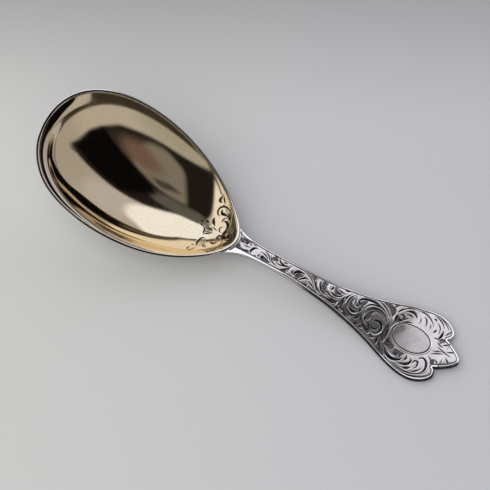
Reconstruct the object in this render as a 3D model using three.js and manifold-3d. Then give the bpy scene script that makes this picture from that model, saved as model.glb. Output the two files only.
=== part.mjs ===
// Caddy spoon: a raised silver bowl with a gilt lining, soldered to a tapering handle whose
// flat end spreads into three lobes round an oval cartouche.
// Millimetres, +Z up, +X from the bowl to the handle's end. The spoon lies as it does on a table,
// with the origin on the table under the middle of its length.

import * as THREE from 'three';
import { mergeVertices } from 'three/addons/utils/BufferGeometryUtils.js';
import Module from 'manifold-3d';

const wasm = await Module();
wasm.setup();

// Overall and bowl
const overallLength = 115;
const bowlLength = 53.4;
const bowlWidth = 36.6;
const bowlDepth = 10.4;
const bowlWall = 0.8;
const lipWidth = 0.7;
const bowlPitch = THREE.MathUtils.degToRad(22.8);
const heelBend = 15;
const restCut = 0.16;
// Outline and hollow of the bowl, as shares of a plain ellipse and a plain paraboloid
const tipFullnessShare = 1.74;
const heelFullnessShare = 0.434;
const cheekFullnessShare = 0.75;
const deepestPlaceShare = 0.42;
const steepnessShare = 0.3;

// Gilt lining
const giltSkin = 0.08;
const giltSeat = 0.02;

// Handle seen from above, with half widths: its tongue and neck are placed from the bowl's heel
const tongueUnderBowl = 6.8;
const tongueEndHalf = 1.2;
const tongueHalf = 4.2;
const shoulderUnderBowl = 1.8;
const shoulderHalf = 4.5;
const shoulderReach = 2.6;
const shoulderDrop = 1.9;
const neckFromBowl = 9.6;
const neckHalf = 2;
const neckApproach = 6.3;
const neckReach = 30.5;
// The lobes are placed from the handle's tip
const terminalFromTip = 9.6;
const terminalHalf = 9.5;
const terminalApproach = 8.8;
const terminalReach = 3.05;
const lobeEndFromTip = 3.95;
const lobeEndHalf = 6;
const lobeApproach = 1.27;
const notchFromTip = 5;
const notchHalf = 4.15;
const notchReach = 1.6;
const notchDrop = 0.4;
const tipHalf = 0.35;
const tipApproach = 1;

// Handle seen from the side
const neckThickness = 1.6;
const terminalThickness = 1.1;
const tongueThickness = 0.6;
const heelFillet = 1.6;
const tipLift = 0.8;
const archReach = 13.8;
const archRise = 1.2;
const settleApproach = 12.6;
const settleFromTip = 11;
const crown = 0.15;
const edgeRound = 0.3;

// Relief of the handle
const borderWidth = 0.55;
const fieldDepth = 0.2;
const cartoucheFromTip = 12.8;
const cartoucheLength = 9.9;
const cartoucheWidth = 6.9;

// Solder joint between the bowl's heel and the handle's tongue
const jointGap = 0.22;
const solderSeat = 0.03;

const overrun = 3;

// Counts of facets
const bowlSides = 60;
const bowlRings = 11;
const lipSteps = 4;
const rowPoints = 9;
const edgeSteps = 4;
const ovalSides = 40;

const halfLength = overallLength / 2;
const deepestAt = deepestPlaceShare * bowlLength;
const bowlDrop = bowlDepth + bowlWall;

// Places along the spoon from the bowl's tip
const tongueEnd = bowlLength - tongueUnderBowl;
const shoulderAt = bowlLength - shoulderUnderBowl;
const neckAt = bowlLength + neckFromBowl;
const terminalAt = overallLength - terminalFromTip;
const lobeEndAt = overallLength - lobeEndFromTip;
const notchAt = overallLength - notchFromTip;
const settleAt = overallLength - settleFromTip;
const cartoucheAt = overallLength - cartoucheFromTip;

// Outline of the bowl, an ellipse made fuller at the tip and drawn in towards the heel. Nested
// outlines (share below 1) shrink towards the deepest place and lose that egg shape on the way.
function fullness(u) {
  const cheek = cheekFullnessShare * (1 - 2 * u) * u * (1 - u);
  return tipFullnessShare * (1 - u) + heelFullnessShare * u - cheek;
}
function acrossReach(share, angle) {
  const u = (1 - Math.cos(angle)) / 2;
  const egg = THREE.MathUtils.lerp(fullness(1 / 2), fullness(u), share);
  return share * Math.sin(angle) * Math.sqrt(egg);
}
function widestReach() {
  const samples = 360;
  let widest = 0;
  for (let i = 0; i < samples; i += 1) {
    widest = Math.max(widest, acrossReach(1, (Math.PI * i) / samples));
  }
  return widest;
}
const bowlReach = widestReach();
function middleOf(share) {
  return THREE.MathUtils.lerp(deepestAt, bowlLength / 2, share ** 2);
}
function eggPoint(share, angle, outset) {
  const half = bowlLength / 2 + outset;
  const width = bowlWidth / 2 + outset;
  const x = middleOf(share) - share * half * Math.cos(angle);
  return new THREE.Vector2(x, (width * acrossReach(share, angle)) / bowlReach);
}

// Height of the lip above the heel
function lipRise(x) {
  const run = bowlLength - Math.min(x, bowlLength);
  return Math.tan(bowlPitch) * (Math.hypot(run, heelBend) - heelBend);
}

// Height and place of a bowl surface, from its deepest place (share 0) to its lip (share 1)
function hollowHeight(x, share, depth, lift) {
  const climb = THREE.MathUtils.lerp(share ** 2, share ** 4, steepnessShare);
  return lift + lipRise(x) - depth * (1 - climb);
}
function hollowPoint(share, angle, outset, depth, lift) {
  const { x, y } = eggPoint(share, angle, outset);
  return new THREE.Vector3(x, y, hollowHeight(x, share, depth, lift));
}

// Height of the heel that brings the underside of the bowl down to the table
function heightOnTable() {
  const samples = 400;
  let lowest = Infinity;
  for (let i = 0; i <= samples; i += 1) {
    lowest = Math.min(lowest, hollowPoint(i / samples, Math.PI, 0, bowlDrop, 0).z);
  }
  return -lowest - restCut;
}
const heelHeight = heightOnTable();

// Height at x of a curve that runs steadily towards +X
function heightOn(curve, x) {
  const halvings = 40;
  let low = 0;
  let high = 1;
  for (let i = 0; i < halvings; i += 1) {
    const middle = (low + high) / 2;
    if (curve.getPoint(middle).x < x) {
      low = middle;
    } else {
      high = middle;
    }
  }
  return curve.getPoint(low).y;
}
function bezier(...points) {
  return new THREE.CubicBezierCurve(...points.map(([x, y]) => new THREE.Vector2(x, y)));
}

// Crest of the handle: up a little past the heel, down to the table, and slightly up at the tip
const arch = bezier(
  [bowlLength, heelHeight],
  [bowlLength + archReach, heelHeight + archRise],
  [settleAt - settleApproach, terminalThickness],
  [settleAt, terminalThickness],
);
function crestHeight(x) {
  if (x <= bowlLength) {
    return heelHeight;
  }
  if (x <= settleAt) {
    return heightOn(arch, x);
  }
  const share = (x - settleAt) / (overallLength - settleAt);
  return terminalThickness + tipLift * share ** 2;
}

// Share of the nested outline of the bowl that passes through a place, also past its lip
function shareThrough(x, y, outset) {
  const halvings = 40;
  let low = 0;
  let high = 2;
  for (let i = 0; i < halvings; i += 1) {
    const share = (low + high) / 2;
    const turn = (middleOf(share) - x) / (share * (bowlLength / 2 + outset));
    const reaches = Math.abs(turn) < 1;
    if (reaches && eggPoint(share, Math.acos(turn), outset).y > Math.abs(y)) {
      high = share;
    } else {
      low = share;
    }
  }
  return low;
}

// Underside of the handle, which runs on under the bowl as a tongue that follows its surface
function handleThickness(x) {
  const share = THREE.MathUtils.smoothstep(x, bowlLength, settleAt);
  return THREE.MathUtils.lerp(neckThickness, terminalThickness, share);
}
function underHeight(x, y) {
  const neckUnder = crestHeight(x) - handleThickness(x);
  if (x > neckAt) {
    return neckUnder;
  }
  const share = shareThrough(x, y, jointGap);
  const seat = hollowHeight(x, share, bowlDrop + jointGap, heelHeight);
  const tongueUnder = seat - tongueThickness;
  const nearness = Math.max(heelFillet - Math.abs(neckUnder - tongueUnder), 0);
  const blended = Math.min(neckUnder, tongueUnder) - nearness ** 2 / (4 * heelFillet);
  return Math.max(blended, 0);
}

// Half outline of the handle, from the tongue to the tip. Each row of points across the handle
// crosses the middle at its own place, so that the rows fan out into the side lobes.
const lobeMiddleAt = (2 * terminalAt + lobeEndAt) / 3;
const notchMiddleAt = (lobeMiddleAt + notchAt) / 2;
const outline = [
  {
    steps: 8,
    middles: [tongueEnd, shoulderAt],
    curve: bezier(
      [tongueEnd, tongueEndHalf],
      [tongueEnd, tongueHalf],
      [(tongueEnd + shoulderAt) / 2, shoulderHalf],
      [shoulderAt, shoulderHalf],
    ),
  },
  {
    steps: 10,
    middles: [shoulderAt, neckAt],
    curve: bezier(
      [shoulderAt, shoulderHalf],
      [shoulderAt + shoulderReach, shoulderHalf - shoulderDrop],
      [neckAt - neckApproach, neckHalf],
      [neckAt, neckHalf],
    ),
  },
  {
    steps: 22,
    middles: [neckAt, terminalAt],
    curve: bezier(
      [neckAt, neckHalf],
      [neckAt + neckReach, neckHalf],
      [terminalAt - terminalApproach, terminalHalf],
      [terminalAt, terminalHalf],
    ),
  },
  {
    steps: 8,
    middles: [terminalAt, lobeMiddleAt],
    curve: bezier(
      [terminalAt, terminalHalf],
      [terminalAt + terminalReach, terminalHalf],
      [lobeEndAt, lobeEndHalf + lobeApproach],
      [lobeEndAt, lobeEndHalf],
    ),
  },
  {
    steps: 3,
    middles: [lobeMiddleAt, notchMiddleAt],
    curve: bezier(
      [lobeEndAt, lobeEndHalf],
      [lobeEndAt, (lobeEndHalf + notchHalf) / 2],
      [(lobeEndAt + notchAt) / 2, notchHalf],
      [notchAt, notchHalf],
    ),
  },
  {
    steps: 9,
    middles: [notchMiddleAt, overallLength],
    curve: bezier(
      [notchAt, notchHalf],
      [notchAt + notchReach, notchHalf - notchDrop],
      [overallLength, tipHalf + tipApproach],
      [overallLength, tipHalf],
    ),
  },
];

// Places where the outline crosses from one step to the next, with its outward direction
function outlineRows() {
  const rows = [];
  for (const { steps, middles, curve } of outline) {
    const first = rows.length === 0 ? 0 : 1;
    for (let i = first; i <= steps; i += 1) {
      const share = i / steps;
      const edge = curve.getPoint(share);
      const tangent = curve.getTangent(share);
      rows.push({
        edge,
        middle: steadyMiddle(curve, middles, share, edge),
        outward: new THREE.Vector2(-tangent.y, tangent.x),
      });
    }
  }
  return rows;
}
function steadyMiddle(curve, middles, share, edge) {
  const start = curve.getPoint(0);
  const end = curve.getPoint(1);
  if (middles[0] === start.x && middles[1] === end.x) {
    return edge.x;
  }
  return THREE.MathUtils.lerp(middles[0], middles[1], share);
}

// Closed body through rings of points, with the first and last ring closed by a fan. Each cell
// is split along its lower diagonal, so that surfaces which lie close together stay apart.
function skin(rings) {
  const sides = rings[0].length;
  const positions = [];
  for (const ring of rings) {
    for (const point of ring) {
      positions.push(point.x - halfLength, point.y, point.z);
    }
  }
  const indices = [];
  for (let i = 0; i + 1 < rings.length; i += 1) {
    for (let j = 0; j < sides; j += 1) {
      const next = (j + 1) % sides;
      const a = i * sides + j;
      const b = i * sides + next;
      const c = a + sides;
      const d = b + sides;
      const rise = rings[i][j].z + rings[i + 1][next].z - rings[i][next].z - rings[i + 1][j].z;
      indices.push(...(rise < 0 ? [a, d, b, a, c, d] : [a, c, b, b, c, d]));
    }
  }
  closeRing(rings[0], 0, true, positions, indices);
  closeRing(rings.at(-1), (rings.length - 1) * sides, false, positions, indices);
  const geometry = new THREE.BufferGeometry();
  geometry.setAttribute('position', new THREE.Float32BufferAttribute(positions, 3));
  geometry.setIndex(indices);
  return geometry;
}
function closeRing(ring, start, reversed, positions, indices) {
  const centre = new THREE.Vector3();
  ring.forEach((point) => centre.add(point));
  centre.divideScalar(ring.length);
  const hub = positions.length / 3;
  positions.push(centre.x - halfLength, centre.y, centre.z);
  for (let j = 0; j < ring.length; j += 1) {
    const a = start + j;
    const b = start + ((j + 1) % ring.length);
    indices.push(...(reversed ? [hub, a, b] : [hub, b, a]));
  }
}

// Rings of one bowl surface, from its deepest place to its lip
function hollowRing(share, outset, depth, lift) {
  const angles = Array.from({ length: bowlSides }, (_, j) => (2 * Math.PI * j) / bowlSides);
  return angles.map((angle) => hollowPoint(share, angle, outset, depth, lift));
}
function hollowRings(outset, depth, lift) {
  const shares = Array.from({ length: bowlRings }, (_, i) => (i + 1) / bowlRings);
  return shares.map((share) => hollowRing(share, outset, depth, lift));
}

// Wear flat where the bowl rests on the table
function wornFlat(rings) {
  rings.flat().forEach((point) => point.setZ(Math.max(point.z, 0)));
  return rings;
}

// Bowl: an outer and an inner surface joined by a rounded lip
function bowlGeometry() {
  const outer = wornFlat(hollowRings(0, bowlDrop, heelHeight));
  const inner = hollowRings(-lipWidth, bowlDepth, heelHeight).reverse();
  const lip = [];
  for (let i = 1; i < lipSteps; i += 1) {
    const turn = (Math.PI * i) / lipSteps;
    const inset = (lipWidth * (1 - Math.cos(turn))) / 2;
    const rise = (lipWidth * Math.sin(turn)) / 2;
    lip.push(hollowRing(1, -inset, 0, heelHeight + rise));
  }
  return skin([...outer, ...lip, ...inner]);
}

// Gilt lining: a thin skin on the inner surface, up to the lip
function giltGeometry() {
  const seat = -lipWidth - giltSeat;
  const under = hollowRings(seat, bowlDepth - giltSeat, heelHeight);
  const topDepth = bowlDepth - giltSeat - giltSkin;
  const top = hollowRings(seat - giltSkin, topDepth, heelHeight).reverse();
  return skin([...under, ...top]);
}

// Rows across the handle, drawn in from its outline by an inset
function acrossPoints(row, inset, height) {
  const edge = row.edge.clone().addScaledVector(row.outward, -inset);
  const points = [];
  for (let i = 0; i < rowPoints; i += 1) {
    const share = (2 * i) / (rowPoints - 1) - 1;
    const x = THREE.MathUtils.lerp(row.middle, edge.x, share ** 2);
    const y = edge.y * share;
    points.push(new THREE.Vector3(x, y, height(x, y, row.edge.y)));
  }
  return points;
}
function crownedHeight(x, y, half) {
  return crestHeight(x) + crown * (1 - (y / half) ** 2);
}

// Rounded edge of the handle on one side of a row, from its crest to its underside
function edgePoints(row, side) {
  const points = [];
  const round = Math.min(edgeRound, row.edge.y);
  for (let i = 0; i <= edgeSteps; i += 1) {
    const turn = (Math.PI * i) / edgeSteps;
    const edge = row.edge.clone().addScaledVector(row.outward, round * (Math.sin(turn) - 1));
    const crest = crownedHeight(edge.x, edge.y, row.edge.y);
    const fall = ((crest - underHeight(edge.x, edge.y)) * (1 - Math.cos(turn))) / 2;
    points.push(new THREE.Vector3(edge.x, side * edge.y, crest - fall));
  }
  return points;
}

// Handle before it is cut to the bowl: it reaches under and over the bowl's heel
function handleBlank() {
  const rings = outlineRows().map((row) => {
    const round = Math.min(edgeRound, row.edge.y);
    const top = acrossPoints(row, round, crownedHeight).slice(1, -1);
    const under = acrossPoints(row, round, underHeight).slice(1, -1).reverse();
    return [...top, ...edgePoints(row, 1), ...under, ...edgePoints(row, -1).reverse()];
  });
  return solid(skin(rings));
}

// Whole space under the lip of the bowl, grown by an outset and carried up past the handle
function bowlSpace(outset) {
  const rings = hollowRings(outset, bowlDrop + outset, heelHeight);
  const above = rings.at(-1).map((point) => point.clone().setZ(point.z + overrun));
  return solid(skin([...rings, above]));
}

// Sunk ground of the ornament, inside the border and outside the cartouche
function ornamentField() {
  const rows = outlineRows().filter((row) => row.edge.y > 2 * borderWidth);
  const ground = (x, y, half) => crownedHeight(x, y, half) - fieldDepth;
  const above = (x, y, half) => crownedHeight(x, y, half) + overrun;
  const rings = rows.map((row) => [
    ...acrossPoints(row, borderWidth, above),
    ...acrossPoints(row, borderWidth, ground).reverse(),
  ]);
  const oval = new THREE.Shape();
  oval.absellipse(cartoucheAt - halfLength, 0, cartoucheLength / 2, cartoucheWidth / 2);
  const depth = heelHeight + overrun;
  const post = new THREE.ExtrudeGeometry(oval, { depth, bevelEnabled: false, curveSegments: ovalSides });
  const heelBorder = bowlSpace(jointGap + borderWidth);
  return solid(skin(rings)).subtract(solid(post)).subtract(heelBorder);
}

// A body for cutting and joining, and the way back to a geometry
function solid(geometry) {
  const bare = geometry.clone();
  bare.deleteAttribute('normal');
  bare.deleteAttribute('uv');
  const merged = mergeVertices(bare);
  return new wasm.Manifold(new wasm.Mesh({
    numProp: 3,
    vertProperties: new Float32Array(merged.attributes.position.array),
    triVerts: new Uint32Array(merged.index.array),
  }));
}
function geometryOf(body) {
  const { vertProperties, triVerts } = body.getMesh();
  const geometry = new THREE.BufferGeometry();
  geometry.setAttribute('position', new THREE.BufferAttribute(vertProperties, 3));
  geometry.setIndex(new THREE.BufferAttribute(triVerts, 1));
  return geometry;
}

function piece(name, geometry, color, roughness, metalness) {
  const material = new THREE.MeshStandardMaterial({ color, roughness, metalness, flatShading: true });
  const mesh = new THREE.Mesh(geometry, material);
  mesh.name = name;
  return mesh;
}

const silverColor = 0xc9c8c4;
const giltColor = 0xd2b583;
const solderColor = 0xb9bab8;

const blank = handleBlank();
const handle = blank.subtract(bowlSpace(jointGap)).subtract(ornamentField());
const solderOuter = bowlSpace(jointGap - solderSeat);
const solder = blank.intersect(solderOuter).subtract(bowlSpace(solderSeat));

const spoon = new THREE.Group();
spoon.name = 'caddy_spoon';
spoon.add(piece('bowl', bowlGeometry(), silverColor, 0.2, 1));
spoon.add(piece('bowl_gilding', giltGeometry(), giltColor, 0.25, 1));
spoon.add(piece('handle', geometryOf(handle), silverColor, 0.3, 1));
spoon.add(piece('solder_seam', geometryOf(solder), solderColor, 0.35, 1));

export default spoon;
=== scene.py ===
"""Looks of the caddy spoon: fine bowl, gilt lining, carved handle, solder seam and studio.

Shapes are worked out in millimetres, with x from the bowl's tip as in the part's source.
The meshes are made in metres, in the part's frame.
"""

import math

import bmesh
import bpy
import numpy as np
from mathutils import Matrix, Vector
from mathutils.geometry import delaunay_2d_cdt


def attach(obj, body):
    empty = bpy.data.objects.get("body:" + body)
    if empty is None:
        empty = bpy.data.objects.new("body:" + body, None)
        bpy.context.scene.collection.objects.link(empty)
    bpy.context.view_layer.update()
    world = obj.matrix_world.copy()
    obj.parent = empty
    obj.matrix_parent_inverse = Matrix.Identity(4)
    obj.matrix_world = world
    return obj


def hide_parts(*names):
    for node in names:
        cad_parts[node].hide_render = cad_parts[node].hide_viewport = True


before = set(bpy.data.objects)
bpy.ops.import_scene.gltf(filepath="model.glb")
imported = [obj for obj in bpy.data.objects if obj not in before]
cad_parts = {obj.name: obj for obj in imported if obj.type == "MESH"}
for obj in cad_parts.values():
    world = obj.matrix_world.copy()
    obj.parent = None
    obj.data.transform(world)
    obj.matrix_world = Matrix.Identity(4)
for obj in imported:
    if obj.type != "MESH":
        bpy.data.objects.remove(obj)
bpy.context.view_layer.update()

METRE = 0.001

# Dimensions, as in the part's source
OVERALL_LENGTH = 115
BOWL_LENGTH = 53.4
BOWL_WIDTH = 36.6
BOWL_DEPTH = 10.4
BOWL_WALL = 0.8
LIP_WIDTH = 0.7
BOWL_PITCH = math.radians(22.8)
HEEL_BEND = 15
REST_CUT = 0.16
TIP_FULLNESS = 1.74
HEEL_FULLNESS = 0.434
CHEEK_FULLNESS = 0.75
DEEPEST_PLACE = 0.42
STEEPNESS = 0.3
GILT_SKIN = 0.08
GILT_SEAT = 0.02

TONGUE_END = BOWL_LENGTH - 6.8
TONGUE_END_HALF = 1.2
TONGUE_HALF = 4.2
SHOULDER_AT = BOWL_LENGTH - 1.8
SHOULDER_HALF = 4.5
SHOULDER_REACH = 2.6
SHOULDER_DROP = 1.9
NECK_AT = BOWL_LENGTH + 9.6
NECK_HALF = 2
NECK_APPROACH = 6.3
NECK_REACH = 30.5
TERMINAL_AT = OVERALL_LENGTH - 9.6
TERMINAL_HALF = 9.5
TERMINAL_APPROACH = 8.8
TERMINAL_REACH = 3.05
LOBE_END_AT = OVERALL_LENGTH - 3.95
LOBE_END_HALF = 6
LOBE_APPROACH = 1.27
NOTCH_AT = OVERALL_LENGTH - 5
NOTCH_HALF = 4.15
NOTCH_REACH = 1.6
NOTCH_DROP = 0.4
TIP_HALF = 0.35
TIP_APPROACH = 1

NECK_THICKNESS = 1.6
TERMINAL_THICKNESS = 1.1
TONGUE_THICKNESS = 0.6
HEEL_FILLET = 1.6
TIP_LIFT = 0.8
ARCH_REACH = 13.8
ARCH_RISE = 1.2
SETTLE_APPROACH = 12.6
SETTLE_AT = OVERALL_LENGTH - 11
EDGE_ROUND = 0.3
CARTOUCHE_AT = OVERALL_LENGTH - 12.8
CARTOUCHE_LENGTH = 9.9
CARTOUCHE_WIDTH = 6.9
JOINT_GAP = 0.22
SOLDER_SEAT = 0.03

HALF_LENGTH = OVERALL_LENGTH / 2
DEEPEST_AT = DEEPEST_PLACE * BOWL_LENGTH
BOWL_DROP = BOWL_DEPTH + BOWL_WALL

# Finer form, which only the scene has, with places along the handle as x
FLARE_WIDTH = 2.4
TIP_FLARE = 1.5
SIDE_FLARE = 0.95
CORNER_DROP = 0.38
TIP_OUT = 0.35
SIDE_IN = 0.3
SAG = 0.3
LIP_HEIGHT = 0.2
LIP_SQUARENESS = 2.6
LIP_DARKENING = 0.95
SHOULDER_TRIM = 0.25
NOTCH_TRIM = 0.2
NECK_CROWN = 0.06
TERMINAL_CROWN = 0.32
CROWN_RISES = (74, 90)
TWIST = 0.05
TWIST_STARTS = (79, 85)
TWIST_ENDS = (96.5, 101.5)
BAND_LINE = 1.6
UPPER_BAND_LINE = BAND_LINE + 0.2
BAND_FLAT = 0.62
BAND_FLAT_ENDS = (64, 72)
BORDER_WIDTH = 0.58
LOBE_BORDER_EXTRA = 0.14
HEEL_BORDER = 0.3
HEEL_SIDE_BORDER = 0.85
SOLDER_FILLET = 0.12
SOLDER_DULLING = 0.35


# Form of the bowl
def lerp(a, b, share):
    return a + (b - a) * share


def smoothstep(x, low, high):
    share = np.clip((np.asarray(x, float) - low) / (high - low), 0, 1)
    return share * share * (3 - 2 * share)


def fullness(u):
    cheek = CHEEK_FULLNESS * (1 - 2 * u) * u * (1 - u)
    return TIP_FULLNESS * (1 - u) + HEEL_FULLNESS * u - cheek


def across_reach(share, angle):
    u = (1 - np.cos(angle)) / 2
    return share * np.sin(angle) * np.sqrt(lerp(fullness(0.5), fullness(u), share))


BOWL_REACH = across_reach(1, np.linspace(0, math.pi, 2001)).max()


def middle_of(share):
    return lerp(DEEPEST_AT, BOWL_LENGTH / 2, share**2)


def egg_point(share, angle, outset):
    x = middle_of(share) - share * (BOWL_LENGTH / 2 + outset) * np.cos(angle)
    y = (BOWL_WIDTH / 2 + outset) * across_reach(share, angle) / BOWL_REACH
    return x, y


def lip_rise(x):
    run = BOWL_LENGTH - np.minimum(x, BOWL_LENGTH)
    return math.tan(BOWL_PITCH) * (np.hypot(run, HEEL_BEND) - HEEL_BEND)


def hollow_height(x, share, depth, lift):
    climb = lerp(share**2, share**4, STEEPNESS)
    return lift + lip_rise(x) - depth * (1 - climb)


def signed_turn(angle):
    """Angle from the bowl's tip, positive on the +Y side."""
    return np.where(angle > math.pi, angle - 2 * math.pi, angle)


def flare(share, angle):
    """Drop of the rim, which opens at the tip and less on the -Y side, and how far it moves out."""
    turn = np.degrees(signed_turn(angle))
    before_heel = 1 - smoothstep(turn, -95, -150)
    past_tip = smoothstep(turn, -60, -95)
    tip = smoothstep(turn, 40, -12) * (1 - past_tip)
    side = past_tip * before_heel
    corner = smoothstep(turn, 5, -12) * (1 - smoothstep(turn, -35, -60))
    from_lip = (1 - share) * BOWL_LENGTH / 2
    near_rim = np.maximum(0, 1 - from_lip / FLARE_WIDTH)
    drop = (TIP_FLARE * tip + SIDE_FLARE * side) * near_rim**2
    drop = drop + CORNER_DROP * corner * smoothstep(from_lip, 1.7, 3.5) * smoothstep(from_lip, 10, 3.5)
    narrowed = smoothstep(turn, -40, -80)
    out = TIP_OUT * smoothstep(turn, 48, 5) * (1 - narrowed) - SIDE_IN * narrowed * before_heel
    return drop, out * near_rim**2


def sag(share, angle):
    """Drop of the wall on the -Y side, half way up, where it was hammered fuller."""
    turn = np.degrees(signed_turn(angle))
    around = smoothstep(turn, -20, -60) * (1 - smoothstep(turn, -112, -150))
    return SAG * around * smoothstep(share, 0.3, 0.75) * (1 - smoothstep(share, 0.75, 0.98))


def heel_height_on_table():
    shares = np.linspace(0, 1, 401)
    x, _ = egg_point(shares, math.pi, 0)
    return -hollow_height(x, shares, BOWL_DROP, 0).min() - REST_CUT


HEEL_HEIGHT = heel_height_on_table()


def share_through(x, y, outset):
    """Share of the nested outline of the bowl that passes through a place, also past its lip."""
    x, y = np.asarray(x, float), np.abs(np.asarray(y, float))
    low = np.full(x.shape, 1e-9)
    high = np.full(x.shape, 2.0)
    for _ in range(36):
        share = (low + high) / 2
        turn = (middle_of(share) - x) / (share * (BOWL_LENGTH / 2 + outset))
        angle = np.arccos(np.clip(turn, -1, 1))
        inside = (np.abs(turn) < 1) & (egg_point(share, angle, outset)[1] > y)
        high = np.where(inside, share, high)
        low = np.where(inside, low, share)
    return low


# Form of the handle
def bezier(a, b, c, d, t):
    a, b, c, d = (np.asarray(p, float)[:, None] for p in (a, b, c, d))
    return a * (1 - t) ** 3 + 3 * b * t * (1 - t) ** 2 + 3 * c * t**2 * (1 - t) + d * t**3


ARCH = bezier(
    (BOWL_LENGTH, HEEL_HEIGHT),
    (BOWL_LENGTH + ARCH_REACH, HEEL_HEIGHT + ARCH_RISE),
    (SETTLE_AT - SETTLE_APPROACH, TERMINAL_THICKNESS),
    (SETTLE_AT, TERMINAL_THICKNESS),
    np.linspace(0, 1, 2001),
)


def crest_height(x):
    height = np.interp(x, ARCH[0], ARCH[1])
    share = (x - SETTLE_AT) / (OVERALL_LENGTH - SETTLE_AT)
    return np.where(x > SETTLE_AT, TERMINAL_THICKNESS + TIP_LIFT * share**2, height)


def outline_parts():
    """Half outline of the handle, from the tongue to the tip, as curves."""
    return (
        (
            (TONGUE_END, TONGUE_END_HALF),
            (TONGUE_END, TONGUE_HALF),
            ((TONGUE_END + SHOULDER_AT) / 2, SHOULDER_HALF),
            (SHOULDER_AT, SHOULDER_HALF),
        ),
        (
            (SHOULDER_AT, SHOULDER_HALF),
            (SHOULDER_AT + SHOULDER_REACH, SHOULDER_HALF - SHOULDER_DROP),
            (NECK_AT - NECK_APPROACH, NECK_HALF),
            (NECK_AT, NECK_HALF),
        ),
        (
            (NECK_AT, NECK_HALF),
            (NECK_AT + NECK_REACH, NECK_HALF),
            (TERMINAL_AT - TERMINAL_APPROACH, TERMINAL_HALF),
            (TERMINAL_AT, TERMINAL_HALF),
        ),
        (
            (TERMINAL_AT, TERMINAL_HALF),
            (TERMINAL_AT + TERMINAL_REACH, TERMINAL_HALF),
            (LOBE_END_AT, LOBE_END_HALF + LOBE_APPROACH),
            (LOBE_END_AT, LOBE_END_HALF),
        ),
        (
            (LOBE_END_AT, LOBE_END_HALF),
            (LOBE_END_AT, (LOBE_END_HALF + NOTCH_HALF) / 2),
            ((LOBE_END_AT + NOTCH_AT) / 2, NOTCH_HALF),
            (NOTCH_AT, NOTCH_HALF),
        ),
        (
            (NOTCH_AT, NOTCH_HALF),
            (NOTCH_AT + NOTCH_REACH, NOTCH_HALF - NOTCH_DROP),
            (OVERALL_LENGTH, TIP_HALF + TIP_APPROACH),
            (OVERALL_LENGTH, TIP_HALF),
        ),
    )


def even_points(path, spacing):
    """A polyline's points again, evenly spaced."""
    run = np.r_[0, np.cumsum(np.hypot(*np.diff(path, axis=0).T))]
    count = max(2, round(run[-1] / spacing))
    at = np.linspace(0, run[-1], count + 1)
    return np.stack([np.interp(at, run, path[:, k]) for k in (0, 1)], 1)


def rounded_corner(before, after, trim, steps):
    """Two paths that meet in a corner, cut back by trim, and the curve that joins them."""
    before = before[np.hypot(*(before - after[0]).T) > trim]
    after = after[np.hypot(*(after - after[0]).T) > trim]
    arriving, leaving = before[-1] - before[-4], after[3] - after[0]
    arriving, leaving = arriving / np.hypot(*arriving), leaving / np.hypot(*leaving)
    turn = math.acos(arriving @ leaving)
    handle = np.hypot(*(after[0] - before[-1])) * 2 / 3 * math.tan(turn / 4) / math.sin(turn / 2)
    ends = before[-1], before[-1] + arriving * handle, after[0] - leaving * handle, after[0]
    return before, bezier(*ends, np.linspace(0, 1, steps)).T[1:-1], after


def half_outline(spacing):
    """The handle's edge from the tongue to the tip, with its shoulder and its notch rounded."""
    curves = [bezier(*part, np.linspace(0, 1, 400)).T for part in outline_parts()]
    tongue, blade, tip = curves[0], np.concatenate(curves[1:5]), curves[5]
    tongue, shoulder, blade = rounded_corner(tongue, blade, SHOULDER_TRIM, 8)
    blade, notch, tip = rounded_corner(blade, tip, NOTCH_TRIM, 11)
    tongue, blade, tip = (even_points(part, spacing) for part in (tongue, blade, tip))
    return np.concatenate([tongue, shoulder, blade, notch, tip])


DENSE_OUTLINE = half_outline(0.05)
WIDEST_SO_FAR = np.maximum.accumulate(DENSE_OUTLINE[:, 0])


def half_width(x):
    """Half width of the handle at x, taken past the notches as the lobes' own width."""
    return np.interp(x, WIDEST_SO_FAR, DENSE_OUTLINE[:, 1])


def bowl_underside(x, y, outset):
    """Underside of the bowl grown by an outset, also past its lip, and the share of the bowl there."""
    share = share_through(x, y, outset)
    return hollow_height(x, share, BOWL_DROP + outset, HEEL_HEIGHT), share


def seat_height(x, y):
    """Where the bowl's heel cuts into the handle, and nothing (infinity) beyond its lip."""
    seat, share = bowl_underside(x, y, JOINT_GAP)
    return np.where(share < 1, seat, np.inf)


def under_height(x, y):
    """Underside of the handle: the arch, blended into the tongue that follows the bowl."""
    thickness = lerp(NECK_THICKNESS, TERMINAL_THICKNESS, smoothstep(x, BOWL_LENGTH, SETTLE_AT))
    neck_under = crest_height(x) - thickness
    seat, _ = bowl_underside(x, y, JOINT_GAP)
    tongue_under = seat - TONGUE_THICKNESS
    nearness = np.maximum(HEEL_FILLET - np.abs(neck_under - tongue_under), 0)
    blended = np.minimum(neck_under, tongue_under) - nearness**2 / (4 * HEEL_FILLET)
    return np.maximum(np.where(x > NECK_AT, neck_under + twist(x, y), blended), 0)


def on_neck(x, last, end):
    """1 on the neck up to last, falling to 0 at end."""
    return 1 - smoothstep(x, last, end)


def twist(x, y):
    """Slight roll of the handle between the neck and the cartouche."""
    return TWIST * y * smoothstep(x, *TWIST_STARTS) * (1 - smoothstep(x, *TWIST_ENDS))


def crowned_height(x, y):
    """Top of the handle without its carving, with a flat band along the -Y edge of the neck."""
    half = half_width(x)
    crown = lerp(NECK_CROWN, TERMINAL_CROWN, smoothstep(x, *CROWN_RISES))
    level = np.where(y < 0, 1 - BAND_FLAT / half * on_neck(x, *BAND_FLAT_ENDS), 1)
    reach = np.minimum(np.abs(y) / half, level)
    return crest_height(x) + crown * (1 - reach**2) + twist(x, y)


# Ornament
CURVE_STEPS = 8
RING_STEPS = 6


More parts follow.
